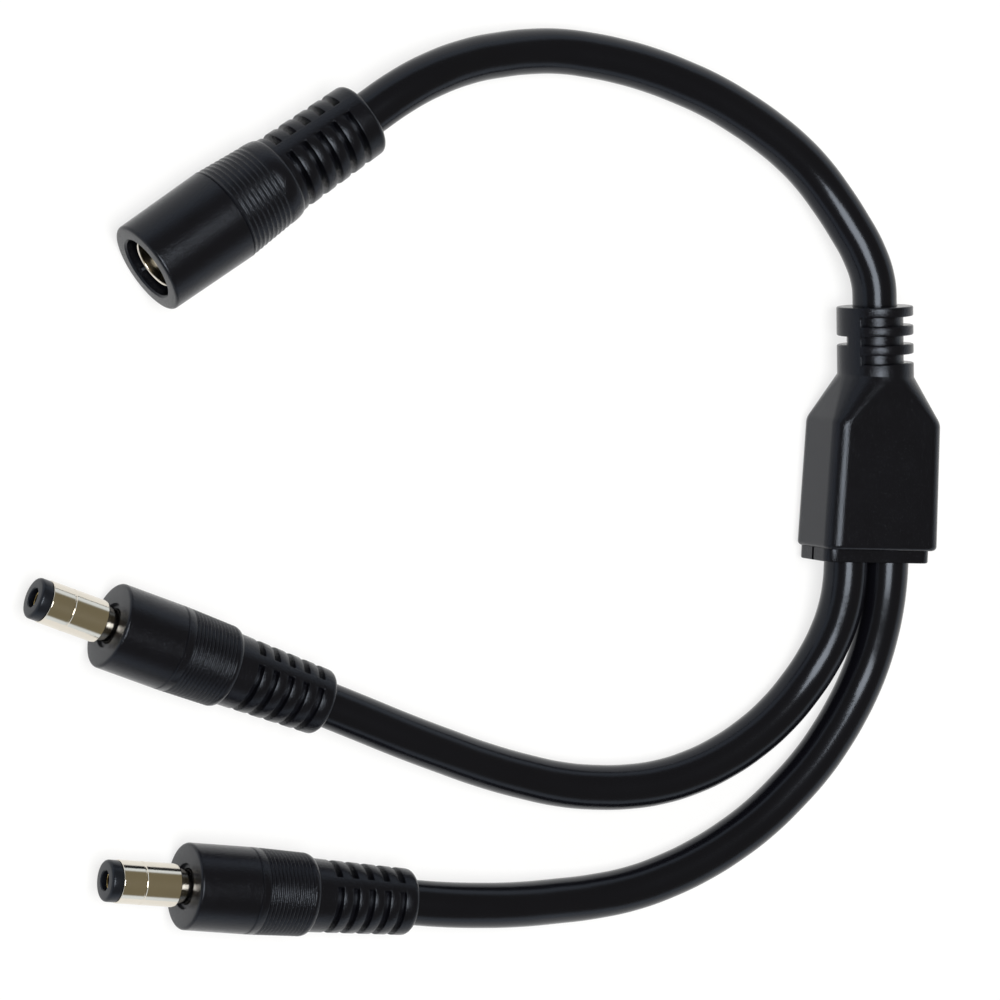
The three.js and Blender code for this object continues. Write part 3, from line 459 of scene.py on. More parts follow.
def plastic(name, base, roughness, grains, depth, patchiness, specks):
    """Black or coloured plastic with fine grain, slightly uneven gloss and specks of dust."""
    look = bpy.context.scene.splitter_cable.finish
    material, tree, shader = start_material(name)
    grain = placed_group(tree, "Moulded grain", Grains_per_metre=grains)
    dust = placed_group(
        tree, "Dust", Cells_per_metre=DUST_CELLS, Amount=specks, Radius=DUST_RADIUS)
    body = mixed(tree, grain["Patches"], base, [PALER * part for part in base])
    gloss = ranged(tree, grain["Patches"], roughness - patchiness, roughness + patchiness)
    dusty = mixed(tree, dust["Mask"], body, look.dust)
    link_surface(tree, shader, dusty, gloss, grain["Height"], depth)
    shader.inputs["Specular IOR Level"].default_value = look.shine
    shader.inputs["Specular Tint"].default_value = (*look.sheen, 1.0)
    return material


def metal(name, base, roughness, line_depth):
    """Turned metal with faint lathe lines and slightly uneven polish."""
    material, tree, shader = start_material(name)
    lines = placed_group(tree, "Turned lines", Lines_per_metre=LATHE_LINES)
    grain = placed_group(tree, "Moulded grain", Grains_per_metre=PLATE_GRAINS)
    body = mixed(tree, grain["Patches"], base, [DARKER_PLATE * part for part in base])
    polish = ranged(
        tree, grain["Patches"], (1 - POLISH_SPREAD) * roughness, (1 + POLISH_SPREAD) * roughness)
    link_surface(tree, shader, body, polish, lines["Height"], line_depth)
    shader.inputs["Metallic"].default_value = 1.0
    return material


def sheet_brass(name, base, roughness):
    """Rolled brass with slightly uneven polish."""
    material, tree, shader = start_material(name)
    grain = placed_group(tree, "Moulded grain", Grains_per_metre=SHEET_GRAINS)
    body = mixed(tree, grain["Patches"], base, [DARKER_SHEET * part for part in base])
    polish = ranged(
        tree, grain["Patches"], (1 - SHEET_SPREAD) * roughness, (1 + SHEET_SPREAD) * roughness)
    link_surface(tree, shader, body, polish, grain["Height"], SHEET_GRAIN_DEPTH)
    shader.inputs["Metallic"].default_value = 1.0
    return material


def finish_named(name):
    """The finish of one material slot, made when a piece first asks for it."""
    if name in bpy.data.materials:
        return bpy.data.materials[name]
    look = bpy.context.scene.splitter_cable.finish
    makers = {
        "Moulded PVC": lambda: plastic(
            name, look.moulding, look.moulding_roughness,
            grains=5200.0, depth=0.042 * MM, patchiness=0.04, specks=0.03),
        "Cable jacket": lambda: plastic(
            name, look.jacket, look.jacket_roughness,
            grains=1800.0, depth=0.01 * MM, patchiness=0.03, specks=0.006),
        "Hard insulator": lambda: plastic(
            name, look.insulator, look.insulator_roughness,
            grains=4000.0, depth=0.006 * MM, patchiness=0.03, specks=0.01),
        "Positive insulation": lambda: plastic(
            name, look.positive, look.core_roughness,
            grains=4000.0, depth=0.01 * MM, patchiness=0.04, specks=0.0),
        "Negative insulation": lambda: plastic(
            name, look.negative, look.core_roughness,
            grains=4000.0, depth=0.01 * MM, patchiness=0.04, specks=0.0),
        "Nickel plate": lambda: metal(
            name, look.nickel, look.nickel_roughness, line_depth=0.002 * MM),
        "Contact brass": lambda: metal(
            name, look.brass, look.brass_roughness, line_depth=0.003 * MM),
        "Splice brass": lambda: sheet_brass(name, look.brass, look.brass_roughness),
    }
    return makers[name]()


# Shapes. A turned shape runs along Y; angles are measured from straight up towards +X.

def arc(radius, y, bend, start, end):
    """Points of a round with its middle at (radius, y), from one angle in degrees to another."""
    points = []
    for step in range(ARC_STEPS + 1):
        angle = math.radians(start + (end - start) * step / ARC_STEPS)
        points.append((radius + bend * math.cos(angle), y + bend * math.sin(angle)))
    return points


def turned(profile, steps, start=0.0):
    """Spin a profile of (radius, y) round Y; it is closed, or begins and ends on the axis."""
    shape = bmesh.new()
    side, up = math.sin(start), math.cos(start)
    corners = [shape.verts.new((radius * side, y, radius * up)) for radius, y in profile]
    edges = [shape.edges.new(pair) for pair in zip(corners, corners[1:])]
    if profile[0][0] > 0:
        edges.append(shape.edges.new((corners[-1], corners[0])))
    bmesh.ops.spin(
        shape, geom=corners + edges, cent=(0, 0, 0), axis=(0, 1, 0), angle=2 * math.pi,
        steps=steps, use_merge=True)
    bmesh.ops.remove_doubles(shape, verts=shape.verts, dist=WELD)
    bmesh.ops.recalc_face_normals(shape, faces=shape.faces)
    return shape


def rod(radius, start, end):
    return turned([(0, start), (radius, start), (radius, end), (0, end)], METAL_STEPS)


def bar(width, depth, height, middle):
    shape = bmesh.new()
    bmesh.ops.create_cube(shape, size=1.0)
    bmesh.ops.scale(shape, verts=shape.verts, vec=(width, depth, height))
    bmesh.ops.translate(shape, verts=shape.verts, vec=middle)
    return shape


def round_off(shape, parts, radius, segments, affect="EDGES", clamp_overlap=False):
    """Round edges, or corners of a flat face."""
    bmesh.ops.bevel(
        shape, geom=parts, offset=radius, offset_type="OFFSET", segments=segments, profile=0.5,
        affect=affect, material=-1, clamp_overlap=clamp_overlap)


def map_turned(shape):
    """Give a turned shape its own map: once round it across, and its length in metres along."""
    layer = shape.loops.layers.uv.new(TURNED_MAP)
    for face in shape.faces:
        for corner in face.loops:
            place = corner.vert.co
            corner[layer].uv = (math.atan2(place.x, place.z) / (2 * math.pi), place.y)


def loose_object(shape):
    mesh = bpy.data.meshes.new("Part")
    shape.to_mesh(mesh)
    shape.free()
    part = bpy.data.objects.new("Part", mesh)
    bpy.context.scene.collection.objects.link(part)
    return part


def combined(first, second, operation):
    """Join two closed shapes, or cut the second from the first. Both are used up."""
    body, tool = loose_object(first), loose_object(second)
    modifier = body.modifiers.new(operation, "BOOLEAN")
    modifier.operation = operation
    modifier.solver = "EXACT"
    modifier.object = tool
    ready = body.evaluated_get(bpy.context.evaluated_depsgraph_get())
    result = bmesh.new()
    result.from_mesh(ready.to_mesh())
    ready.to_mesh_clear()
    for part in (body, tool):
        mesh = part.data
        bpy.data.objects.remove(part)
        bpy.data.meshes.remove(mesh)
    bmesh.ops.remove_doubles(result, verts=result.verts, dist=WELD)
    return result


def from_spine(place, angle, opposite):
    """How far round a place is from the nearest spine: one spine, or two opposite ones."""
    turned_by = math.atan2(place.x, place.z) - angle
    period = math.pi if opposite else 2 * math.pi
    return abs((turned_by + period / 2) % period - period / 2)


def sink(shape, back, front, floor, angle, half_spine, opposite, rim):
    """Sink the outside between two places along Y to a floor radius, except at the spines."""
    def lowered(face):
        place = face.calc_center_median()
        outward = face.normal.x * place.x + face.normal.z * place.z
        return (back < place.y < front and outward > 0 and math.hypot(place.x, place.z) > floor
                and from_spine(place, angle, opposite) > half_spine)

    faces = [face for face in shape.faces if lowered(face)]
    grown = bmesh.ops.extrude_face_region(shape, geom=faces)["geom"]
    for corner in grown:
        if isinstance(corner, bmesh.types.BMVert):
            shrink = floor / math.hypot(corner.co.x, corner.co.z)
            corner.co.x *= shrink
            corner.co.z *= shrink
    left = [face for face in faces if face.is_valid]
    bmesh.ops.delete(shape, geom=left, context="FACES_ONLY")
    shape.normal_update()

    def on_rim(edge):
        return (all(back - WELD < corner.co.y < front + WELD
                    and math.hypot(corner.co.x, corner.co.z) > floor + rim for corner in edge.verts)
                and len(edge.link_faces) == 2 and edge.calc_face_angle() > RIM_ANGLE)

    edges = [edge for edge in shape.edges if on_rim(edge)]
    round_off(shape, edges, rim, FINE_STEPS, clamp_overlap=True)


def round_section(shape, y, width, base, top, edge):
    """A rectangle across Y with round corners."""
    corners = [shape.verts.new((side * width / 2, y, z)) for side, z in (
        (-1, base), (1, base), (1, top), (-1, top))]
    shape.faces.new(corners)
    round_off(shape, corners, edge, SECTION_STEPS, affect="VERTICES")


def edges_at(shape, y):
    """The ring of edges at one place along Y."""
    return [edge for edge in shape.edges if all(abs(corner.co.y - y) < WELD for corner in edge.verts)]


def lofted(sections):
    """A closed skin through round sections (y, width, base, top, edge)."""
    shape = bmesh.new()
    for section in sections:
        round_section(shape, *section)
    places = [section[0] for section in sections]
    inner = [face for face in shape.faces
             if any(abs(face.calc_center_median().y - y) < WELD for y in places[1:-1])]
    bmesh.ops.delete(shape, geom=inner, context="FACES_ONLY")
    for start, end in zip(places, places[1:]):
        bmesh.ops.bridge_loops(shape, edges=edges_at(shape, start) + edges_at(shape, end))
    bmesh.ops.recalc_face_normals(shape, faces=shape.faces)
    return shape


def finished(shape, node, finish, place):
    """Make a shape the piece that stands for a node, with its place in its mesh."""
    shape.transform(place)
    name = node.capitalize()
    mesh = bpy.data.meshes.new(name)
    shape.to_mesh(mesh)
    shape.free()
    mesh.shade_smooth()
    mesh.set_sharp_from_angle(angle=SHARP)
    mesh.materials.append(finish_named(finish))
    piece = bpy.data.objects.new(name, mesh)
    bpy.context.scene.collection.objects.link(piece)
    weighted = piece.modifiers.new("Flat faces stay flat", "WEIGHTED_NORMAL")
    weighted.keep_sharp = True
    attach(piece, "root")
    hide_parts(node)


# Places

def connector_place(name):
    """A connector's own frame: +Y out of its front face, +Z up."""
    mount = next(entry for entry in frame["record"]["mounts"]
                 if entry["name"] == f"{name}_mating_face")
    low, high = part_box(f"{name}_body")
    out = Vector(mount["axis"])
    face = Vector((mount["pos_m"][0], mount["pos_m"][1], (low[2] + high[2]) / 2))
    return Matrix.Translation(face) @ Matrix.Rotation(
        math.atan2(out.y, out.x) - math.pi / 2, 4, "Z")


def body_length(size):
    return (size.front + size.plain + size.rings + size.shoulder + size.first_slot
            + (size.slot_count - 1) * size.slot_pitch + size.slot_width + size.last_land)


def neck_length(block):
    return block.collar + block.ring_count * (block.ring_width + block.groove_width)


def neck_place(block):
    start = block.body_length / 2 + block.shoulder_length
    return (Matrix.Translation((0, start, block.thickness / 2))
            @ Matrix.Rotation(block.neck_lean, 4, "Z"))


def outlet(block):
    return -block.body_length / 2 - block.step_length


def step_width(block):
    return block.width - 2 * block.step_inset


def outlet_side(cable):
    """From the block's middle to the middle of either output cable."""
    return (cable.diameter + cable.separation) / 2


# Cables

def inside_connector(place, size):
    """Three points on a cable inside its connector, from its end to where it leaves."""
    back = -body_length(size)
    return [place @ Vector((0, back + depth, 0)) for depth in (size.grip, size.grip / 2, 0)]


def inside_neck(block):
    place, end = neck_place(block), neck_length(block)
    return [place @ Vector((0, end - depth, 0))
            for depth in (0, block.input_grip / 2, block.input_grip)]


def inside_outlet(block, x):
    start = outlet(block)
    return [Vector((x, start + depth, block.thickness / 2))
            for depth in (block.output_grip, block.output_grip / 2, 0)]


def lay_cable(node, points):
    """A cable through its points; it leaves a moulding at one of them."""
    size = bpy.context.scene.splitter_cable.cable
    name = node.capitalize()
    curve = bpy.data.curves.new(name, "CURVE")
    curve.dimensions = "3D"
    curve.bevel_depth = size.diameter / 2
    curve.bevel_resolution = CORD_ROUNDNESS
    curve.resolution_u = CORD_STEPS
    curve.use_fill_caps = True
    spline = curve.splines.new("BEZIER")
    spline.bezier_points.add(len(points) - 1)
    for knot, point in zip(spline.bezier_points, points):
        knot.co = point
        knot.handle_left_type = knot.handle_right_type = "AUTO"
    curve.materials.append(finish_named("Cable jacket"))
    cable = bpy.data.objects.new(name, curve)
    bpy.context.scene.collection.objects.link(cable)
    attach(cable, "root")
    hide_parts(node)


def free_stretch(route):
    return [Vector(point) * MM for point in route]


# Moulded bodies of the plugs and the jack

def relief_slots(size):
    """Back and front of each slot, the first slot first."""
    first = size.front + size.plain + size.rings + size.shoulder + size.first_slot
    slots = []
    for slot in range(size.slot_count):
        front = -first - slot * size.slot_pitch
        slots.append((front - size.slot_width, front))
    return slots


def body_outside(size):
    """Outside of a moulded body, from its cable end forward to the edge of its face."""
    end = -body_length(size)
    rings_start = size.front + size.plain
    rings_end = rings_start + size.rings
    relief = rings_end + size.shoulder
    relief_radius = size.relief_diameter / 2
    end_radius = size.relief_end_diameter / 2
    points = arc(end_radius - RELIEF_END_EDGE, end + RELIEF_END_EDGE, RELIEF_END_EDGE, -90, 0)

    def taper(y):
        way = (y - end - RELIEF_END_EDGE) / (-relief - end - RELIEF_END_EDGE)
        return end_radius + (relief_radius - end_radius) * way

    for back, front in reversed(relief_slots(size)):
        points += [(taper(back), back), (taper(front), front)]
    rise = size.ring_end_diameter / 2 - relief_radius
    for step in range(ARC_STEPS + 1):
        angle = math.pi / 2 * step / ARC_STEPS
        points.append((
            relief_radius + rise * math.sin(angle), -relief + size.shoulder * (1 - math.cos(angle))))
    total = size.ring_count * RING_STEPS
    for step in range(1, total + 1):
        way = step / total
        swell = (size.ring_end_diameter + (size.diameter - size.ring_end_diameter) * way) / 2
        dip = RING_DEPTH * (1 - math.cos(2 * math.pi * step / RING_STEPS)) / 2
        points.append((swell - dip, -rings_end + size.rings * way))
    radius = size.diameter / 2
    seam = min(SEAM_WIDTH, size.plain) / 2
    points += [
        (radius, -size.front - seam), (radius - SEAM_DEPTH, -size.front),
        (radius, -size.front + SEAM_WIDTH / 2),
    ]
    points += arc(size.face_diameter / 2 - FACE_EDGE, -FACE_EDGE, FACE_EDGE, 0, 90)
    return points


def moulded_body(size, inside, steps):
    """A moulded body with its slots; inside runs from the face's opening back to the cable end."""
    cable = bpy.context.scene.splitter_cable.cable
    room = cable.diameter / 2 + cable.clearance
    end = -body_length(size)
    half_spine = HALF_SPINE_STEPS * 2 * math.pi / steps
    profile = body_outside(size) + inside + [
        (room, end + CABLE_LIP), (cable.diameter / 2 + LIP_CLEARANCE, end + CABLE_LIP / 2),
        (cable.diameter / 2 + LIP_CLEARANCE, end),
    ]
    shape = turned(profile, steps, size.spine_angle - half_spine)
    for back, front in relief_slots(size):
        sink(shape, back, front, room + SLOT_FLOOR_WALL,
             size.spine_angle, half_spine, True, SLOT_RIM)
    return shape


# Contacts

def lug(tail_end, start, clearance=0.0):
    """Solder lug of the outer contact, under the negative core."""
    face = CORE_SPREAD + CORE_DIAMETER / 2 + SOLDER_CLEARANCE
    end = tail_end - SOLDER_CLEARANCE - LUG_LAP - clearance
    return bar(
        LUG_WIDTH + 2 * clearance, start - end, LUG_THICKNESS + 2 * clearance,
        (0, (start + end) / 2, -face - LUG_THICKNESS / 2))


def barrel_front(size):
    return size.neck_length + size.barrel_length


def tip_front(size):
    return barrel_front(size) + FIT_CLEARANCE + size.tip_length


def contact_rear(size):
    return -size.stem - END_CLEARANCE


def contact_tail_end(size):
    return contact_rear(size) - size.tail_length


def plug_body(size):
    cable = bpy.context.scene.splitter_cable.cable
    neck = size.neck_diameter / 2 + cable.clearance
    flange = size.flange_diameter / 2 + cable.clearance
    flange_front = -size.stem + size.flange_length + cable.clearance
    room = cable.diameter / 2 + cable.clearance
    recess = size.barrel_diameter / 2 + cable.clearance
    inside = [
        (recess + HOLE_EDGE / 2, 0), (recess, -HOLE_EDGE / 2), (recess, -FACE_RECESS),
        (neck, -FACE_RECESS), (neck, flange_front), (flange, flange_front),
        (flange, -size.stem - cable.clearance), (room, -size.stem - cable.clearance),
    ]
    return moulded_body(size, inside, PLUG_STEPS)


def plug_barrel(size):
    bore, neck, outer = size.barrel_bore / 2, size.neck_diameter / 2, size.barrel_diameter / 2
    flange, flange_front = size.flange_diameter / 2, -size.stem + size.flange_length
    front = barrel_front(size)
    groove, half = front - size.groove_place, size.groove_width / 2
    profile = [(bore, -size.stem), (flange, -size.stem), (flange, flange_front), (neck, flange_front)]
    profile += [(neck, size.neck_length)]
    profile += arc(outer - METAL_EDGE, size.neck_length + METAL_EDGE, METAL_EDGE, -90, 0)
    profile += [
        (outer, groove - half), (outer - size.groove_depth, groove - half / 3),
        (outer - size.groove_depth, groove + half / 3), (outer, groove + half),
    ]
    profile += arc(outer - METAL_EDGE, front - METAL_EDGE, METAL_EDGE, 0, 90)
    profile += [(bore, front)]
    sleeve = turned(profile, METAL_STEPS)
    solder_lug = lug(contact_tail_end(size), -size.stem + size.flange_length / 2)
    shape = combined(sleeve, solder_lug, "UNION")
    map_turned(shape)
    return shape


def plug_insulator(size):
    outer = size.barrel_bore / 2 - FIT_CLEARANCE
    bore = outer - size.insulator_wall
    tip, hole = size.tip_diameter / 2, size.tip_hole / 2
    rear, front = contact_rear(size), tip_front(size)
    tip_rear = barrel_front(size) + FIT_CLEARANCE
    shelf = front - size.tip_shell
    profile = [(bore, rear), (outer, rear), (outer, tip_rear)]
    profile += arc(tip - METAL_EDGE, tip_rear + METAL_EDGE, METAL_EDGE, -90, 0)
    profile += arc(tip - TIP_EDGE, front - TIP_EDGE, TIP_EDGE, 0, 90)
    profile += [
        (hole + HOLE_EDGE, front), (hole, front - HOLE_EDGE), (hole, shelf), (bore, shelf)]
    return turned(profile, METAL_STEPS)


def plug_contact(size):
    outer = size.barrel_bore / 2 - 2 * FIT_CLEARANCE - size.insulator_wall
    bore, tail = size.tip_hole / 2, TAIL_DIAMETER / 2
    rear, tail_end = contact_rear(size), contact_tail_end(size)
    front = tip_front(size) - size.tip_shell - FIT_CLEARANCE
    floor = front - size.contact_bore_depth
    shape = turned([
        (0, tail_end), (tail, tail_end), (tail, rear), (outer, rear), (outer, front),
        (bore + METAL_EDGE / 2, front), (bore, front - METAL_EDGE / 2), (bore, floor), (0, floor),
    ], METAL_STEPS)
    map_turned(shape)
    return shape


def sleeve_rear(size):
    return -size.sleeve_recess - size.sleeve_length


def insert_rear(size):
    return sleeve_rear(size) - FIT_CLEARANCE - size.insert_wall


def jack_tail_end(size):
    return insert_rear(size) - size.tail_length


def jack_body(size):
    cable = bpy.context.scene.splitter_cable.cable
    mouth = size.mouth_diameter / 2
    rear = insert_rear(size) - cable.clearance
    room = cable.diameter / 2 + cable.clearance
    inside = [(mouth + 2 * HOLE_EDGE, 0), (mouth, -2 * HOLE_EDGE), (mouth, rear), (room, rear)]
    return moulded_body(size, inside, JACK_STEPS)


def jack_insert(size):
    outer = size.mouth_diameter / 2 - FIT_CLEARANCE
    pocket = size.sleeve_diameter / 2 + FIT_CLEARANCE
    pin = size.pin_diameter / 2 + FIT_CLEARANCE
    floor, rear = sleeve_rear(size) - FIT_CLEARANCE, insert_rear(size)
    shell = turned([
        (pin, rear), (outer, rear), (outer, -size.insert_recess), (pocket, -size.insert_recess),
        (pocket, floor), (pin, floor),
    ], METAL_STEPS)
    rib_length = size.insert_recess - size.rib_recess + size.rib_height
    rib = bar(size.rib_width, rib_length, size.rib_height, (
        0, -size.rib_recess - rib_length / 2, outer - size.rib_height / 2 - FIT_CLEARANCE))
    round_off(rib, rib.edges[:], RIB_EDGE, FINE_STEPS)
    rib.transform(Matrix.Rotation(size.rib_angle, 4, "Y"))
    ribbed = combined(shell, rib, "UNION")
    return combined(ribbed, lug(jack_tail_end(size), 0.0, FIT_CLEARANCE), "DIFFERENCE")


def jack_sleeve(size):
    outer = size.sleeve_diameter / 2
    bore = outer - size.sleeve_wall
    rear, front = sleeve_rear(size), -size.sleeve_recess
    rim_front = rear + size.sleeve_rim_thickness
    lip = size.sleeve_wall / 2
    profile = [(bore - size.sleeve_rim, rear), (outer, rear)]
    profile += arc(outer - lip, front - lip, lip, 0, 180)
    profile += [(bore, rim_front), (bore - size.sleeve_rim, rim_front)]
    tube = turned(profile, METAL_STEPS)
    shape = combined(tube, lug(jack_tail_end(size), rim_front - FIT_CLEARANCE), "UNION")
    map_turned(shape)
    return shape


def jack_pin(size):
    radius, tail = size.pin_diameter / 2, TAIL_DIAMETER / 2
    rear, tail_end = insert_rear(size), jack_tail_end(size)
    profile = [(0, tail_end), (tail, tail_end), (tail, rear), (radius, rear)]
    profile += arc(0, -size.pin_recess - radius, radius, 0, 90)
    shape = turned(profile, METAL_STEPS)
    map_turned(shape)
    return shape


def build_connector(name, size, parts):
    """Build each part of a connector, given as name, function, slot and finish, in its place."""
    place = connector_place(name)
    for part, build, slot, finish in parts:
        finished(build(size), f"{name}_{part}", finish, place)


# Junction block

def ringed_neck(block):
    """The neck in its own frame, closed at both ends, with its grooves."""
    radius = block.neck_diameter / 2
    pitch = block.ring_width + block.groove_width
    starts = [block.collar + groove * pitch for groove in range(block.ring_count)]
    profile = [(0, -block.shoulder_length / 2), (radius, -block.shoulder_length / 2)]
    for start in starts:
        profile += [(radius, start), (radius, start + block.groove_width)]
    profile += arc(radius - NECK_RIM, neck_length(block) - NECK_RIM, NECK_RIM, 0, 90)
    profile += [(0, neck_length(block))]
    shape = turned(profile, NECK_STEPS, block.broad_spine_angle)
    for groove, start in enumerate(starts):
        middle = groove % 2 == 1
        width = block.middle_spine if middle else block.broad_spine
        angle = block.middle_spine_angle if middle else block.broad_spine_angle
        sink(shape, start, start + block.groove_width, radius - block.groove_depth,
             angle, math.asin(width / 2 / radius), middle, NECK_RIM)
    return shape


def block_outside(block):
    """The block, its shoulder and its step, closed."""
    tail, shoulder = -block.body_length / 2, block.body_length / 2
    axis, radius = block.thickness / 2, block.neck_diameter / 2
    neck_start = shoulder + block.shoulder_length
    shape = lofted([
        (tail, block.width, 0, block.thickness, block.edge),
        (shoulder, block.shoulder_width, 0, block.thickness, block.edge),
        (neck_start, 2 * radius, axis - radius, axis + radius, NEARLY_ROUND * radius),
    ])
    round_off(shape, edges_at(shape, tail), block.end_edge, END_EDGE_STEPS)
    round_off(shape, edges_at(shape, shoulder), block.shoulder_edge, BEND_STEPS)
    width, top = step_width(block), block.thickness - block.step_top_inset
    step = lofted([
        (outlet(block), width, block.step_base_inset, top, block.step_edge),
        (0, width, block.step_base_inset, top, block.step_edge),
    ])
    round_off(step, edges_at(step, outlet(block)), FACE_EDGE / 2, FINE_STEPS)
    return combined(shape, step, "UNION")


def junction_body(block, cable):
    """The whole moulding, with its neck, the cables' holes, the parting notches and the room inside."""
    axis = block.thickness / 2
    place = neck_place(block)
    neck = ringed_neck(block)
    neck.transform(place)
    shape = combined(block_outside(block), neck, "UNION")
    bore = cable.diameter / 2 + LIP_CLEARANCE
    jacket_end = neck_length(block) - block.input_grip - END_CLEARANCE
    entry = rod(bore, jacket_end, neck_length(block) + FACE_EDGE)
    entry.transform(place)
    shape = combined(shape, entry, "DIFFERENCE")
    room_front = (place @ Vector((0, jacket_end, 0))).y
    room_back = outlet(block) + block.output_grip
    for side in (-1, 1):
        exit_bore = rod(bore, outlet(block) - FACE_EDGE, room_back + END_CLEARANCE)
        exit_bore.transform(Matrix.Translation((side * outlet_side(cable), 0, axis)))
        shape = combined(shape, exit_bore, "DIFFERENCE")
        notch = bar(2 * block.notch_depth, 2 * block.step_length, block.notch_height, (
            side * step_width(block) / 2, outlet(block), axis - block.notch_height))
        shape = combined(shape, notch, "DIFFERENCE")
    room = bar(BLOCK_ROOM_WIDTH, room_front - room_back, block.thickness - 2 * BLOCK_ROOM_WALL, (
        0, (room_front + room_back) / 2, axis))
    return combined(shape, room, "DIFFERENCE")


# Operators

class BuildStage(bpy.types.Operator):
    """Set up the camera, the softbox, the surroundings and the pale floor"""
    bl_idname = "scene.splitter_stage"
    bl_label = "Build stage"

    def execute(self, context):
        setting = context.scene.splitter_cable.stage
        context.scene.view_settings.view_transform = "Standard"
        self.place_camera(context, setting)
        self.place_softbox(context, setting)
        self.surround(context, setting)
        self.lay_floor(context, setting)
        return {"FINISHED"}

    def place_camera(self, context, setting):
        level = math.cos(setting.elevation)
        look = Vector((level * math.cos(setting.azimuth), level * math.sin(setting.azimuth),
                       math.sin(setting.elevation)))
        up = Vector((math.cos(setting.upright), math.sin(setting.upright), 0))
        up = (up - look * up.dot(look)).normalized()
        turned_to = Matrix((up.cross(look), up, look)).transposed().to_4x4()
        data = bpy.data.cameras.new("Camera")
        data.lens = setting.focal_length
        camera = bpy.data.objects.new("Camera", data)
        camera.matrix_world = Matrix.Translation(PHOTO_TARGET + look * setting.distance) @ turned_to
        context.scene.collection.objects.link(camera)
        context.scene.camera = camera

    def place_softbox(self, context, setting):
        data = bpy.data.lights.new("Softbox", "AREA")
        data.shape = "SQUARE"
        data.size = setting.light_size
        data.energy = setting.light_power
        softbox = bpy.data.objects.new("Softbox", data)
        aim = Matrix.Rotation(-setting.light_tilt, 4, "Y")
        softbox.matrix_world = (Matrix.Translation(PHOTO_TARGET) @ aim
                                @ Matrix.Translation((0, 0, setting.light_distance)))
        context.scene.collection.objects.link(softbox)

    def surround(self, context, setting):
        world = bpy.data.worlds.new("Surroundings")
        tree = bare_tree(world)
        direction = add(tree, "TexCoord").outputs["Generated"]
        height = add(tree, "SeparateXYZ", {"Vector": direction}).outputs["Z"]
        edge = math.sin(setting.bright_band)
        above = add(tree, "MapRange", {
            "Value": height, "From Min": (1 - BAND_SOFTNESS) * edge,
            "From Max": (1 + BAND_SOFTNESS) * edge}).outputs["Result"]
        light = mixed(tree, above, setting.horizon, setting.ceiling)
        seen = add(tree, "LightPath").outputs["Is Camera Ray"]
        background = add(tree, "Background", {"Color": mixed(tree, seen, light, WHITE)})
        add(tree, "OutputWorld", {"Surface": background.outputs["Background"]})
        context.scene.world = world

    def lay_floor(self, context, setting):
        shape = bmesh.new()
        bmesh.ops.create_grid(shape, x_segments=1, y_segments=1, size=setting.floor_size)
        bmesh.ops.translate(shape, verts=shape.verts, vec=(0, 0, -WELD))
        floor = loose_object(shape)
        floor.name = "Floor"
        material = bpy.data.materials.new("Pale floor")
        tree = bare_tree(material)
        paper = add(tree, "TexNoise", {
            "Vector": add(tree, "TexCoord").outputs["Object"], "Scale": PAPER_GRAINS, "Detail": 2.0})
        tint = mixed(tree, paper.outputs["Fac"], setting.floor, WHITE)
        matt = add(tree, "BsdfDiffuse", {"Color": tint})
        glow = add(tree, "Emission", {"Strength": 1.0})
        path = add(tree, "LightPath").outputs
        seen = calculate(tree, "MAXIMUM", path["Is Camera Ray"], calculate(
            tree, "MAXIMUM", path["Is Glossy Ray"], path["Is Transmission Ray"]))
        part = calculate(tree, "MULTIPLY", seen, setting.floor_glow)
        blend = add(tree, "MixShader", {0: part, 1: matt.outputs[0], 2: glow.outputs[0]})
        add(tree, "OutputMaterial", {"Surface": blend.outputs[0]})
        floor.data.materials.append(material)


class LayCables(bpy.types.Operator):
    """Lay the three cables between the connectors and the junction block"""
    bl_idname = "scene.splitter_cables"
    bl_label = "Lay cables"

    def execute(self, context):
        sizes = context.scene.splitter_cable
        block = sizes.block
        apart = outlet_side(sizes.cable)
        jack_end = inside_connector(connector_place("jack"), sizes.jack)
        neck_end = inside_neck(block)
        points = jack_end + free_stretch(INPUT_ROUTE) + neck_end
        lay_cable("input_cable", points)
        for number, side, route in ((1, -1, OUTPUT_1_ROUTE), (2, 1, OUTPUT_2_ROUTE)):
            start = inside_outlet(block, side * apart)
            plug_end = inside_connector(connector_place(f"plug_{number}"), sizes.plug)
            points = start + free_stretch(route) + plug_end[::-1]
            lay_cable(f"output_cable_{number}", points)
        return {"FINISHED"}


class BuildJack(bpy.types.Operator):
    """Build the jack: body, insert, sleeve and pin"""
    bl_idname = "scene.splitter_jack"
    bl_label = "Build jack"

    def execute(self, context):
        size = context.scene.splitter_cable.jack
        build_connector("jack", size, (
            ("body", jack_body, "moulding", "Moulded PVC"),
            ("insert", jack_insert, "insulator", "Hard insulator"),
            ("sleeve", jack_sleeve, "nickel_plate", "Nickel plate"),
            ("pin", jack_pin, "nickel_plate", "Nickel plate"),
        ))
        return {"FINISHED"}


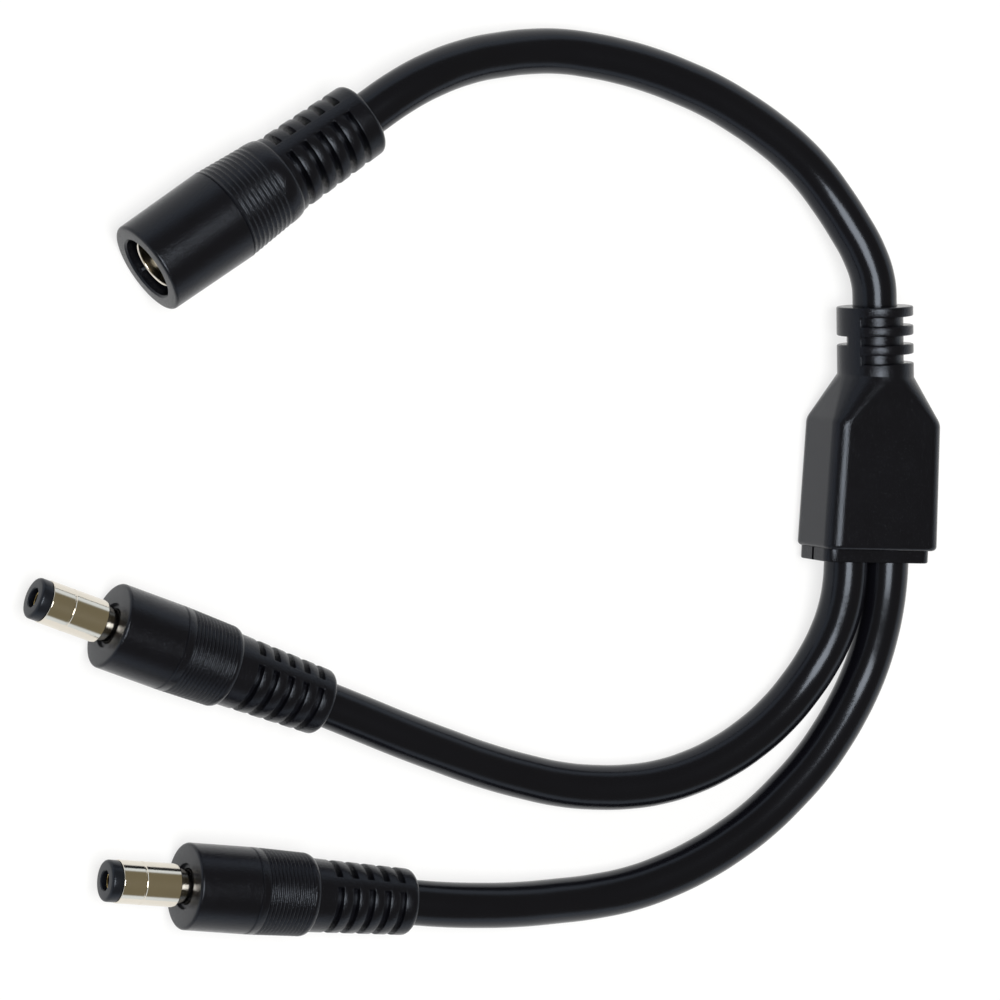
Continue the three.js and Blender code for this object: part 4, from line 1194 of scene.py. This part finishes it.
class BuildPlugs(bpy.types.Operator):
    """Build both plugs: body, barrel, insulator and centre contact"""
    bl_idname = "scene.splitter_plugs"
    bl_label = "Build plugs"

    def execute(self, context):
        size = context.scene.splitter_cable.plug
        parts = (
            ("body", plug_body, "moulding", "Moulded PVC"),
            ("barrel", plug_barrel, "nickel_plate", "Nickel plate"),
            ("insulator", plug_insulator, "insulator", "Hard insulator"),
            ("centre_contact", plug_contact, "contact_brass", "Contact brass"),
        )
        for number in (1, 2):
            build_connector(f"plug_{number}", size, parts)
        return {"FINISHED"}


class BuildJunction(bpy.types.Operator):
    """Build the junction block with its ringed neck"""
    bl_idname = "scene.splitter_junction"
    bl_label = "Build junction block"

    def execute(self, context):
        sizes = context.scene.splitter_cable
        shape = junction_body(sizes.block, sizes.cable)
        finished(shape, "junction_body", "Moulded PVC", Matrix())
        return {"FINISHED"}


class FinishHiddenParts(bpy.types.Operator):
    """Give the core ends and the splices inside the mouldings their finishes"""
    bl_idname = "scene.splitter_hidden"
    bl_label = "Finish hidden parts"

    def execute(self, context):
        endings = {
            "positive_core": "Positive insulation",
            "negative_core": "Negative insulation",
            "splice": "Splice brass",
        }
        for name, node in frame["nodes"].items():
            for ending, finish in endings.items():
                if name.endswith(ending):
                    node.data.materials.clear()
                    node.data.materials.append(finish_named(finish))
        return {"FINISHED"}


class SplitterPanel(bpy.types.Panel):
    """Buttons that build the splitter cable"""
    bl_idname = "VIEW3D_PT_splitter_cable"
    bl_label = "Splitter cable"
    bl_space_type = "VIEW_3D"
    bl_region_type = "UI"
    bl_category = "Splitter cable"

    def draw(self, context):
        for operator in OPERATORS:
            self.layout.operator(operator.bl_idname)


OPERATORS = (BuildStage, LayCables, BuildJack, BuildPlugs, BuildJunction, FinishHiddenParts)
CLASSES = (
    CableSizes, PlugSizes, JackSizes, BlockSizes, FinishColours, StageSettings, SplitterCable,
    *OPERATORS, SplitterPanel,
)


def register():
    for entry in CLASSES:
        bpy.utils.register_class(entry)
    bpy.types.Scene.splitter_cable = bpy.props.PointerProperty(type=SplitterCable)


def unregister():
    del bpy.types.Scene.splitter_cable
    for entry in reversed(CLASSES):
        bpy.utils.unregister_class(entry)


def main():
    register()
    bpy.ops.scene.splitter_stage()
    bpy.ops.scene.splitter_cables()
    bpy.ops.scene.splitter_jack()
    bpy.ops.scene.splitter_plugs()
    bpy.ops.scene.splitter_junction()
    bpy.ops.scene.splitter_hidden()


if __name__ == "__main__":
    main()
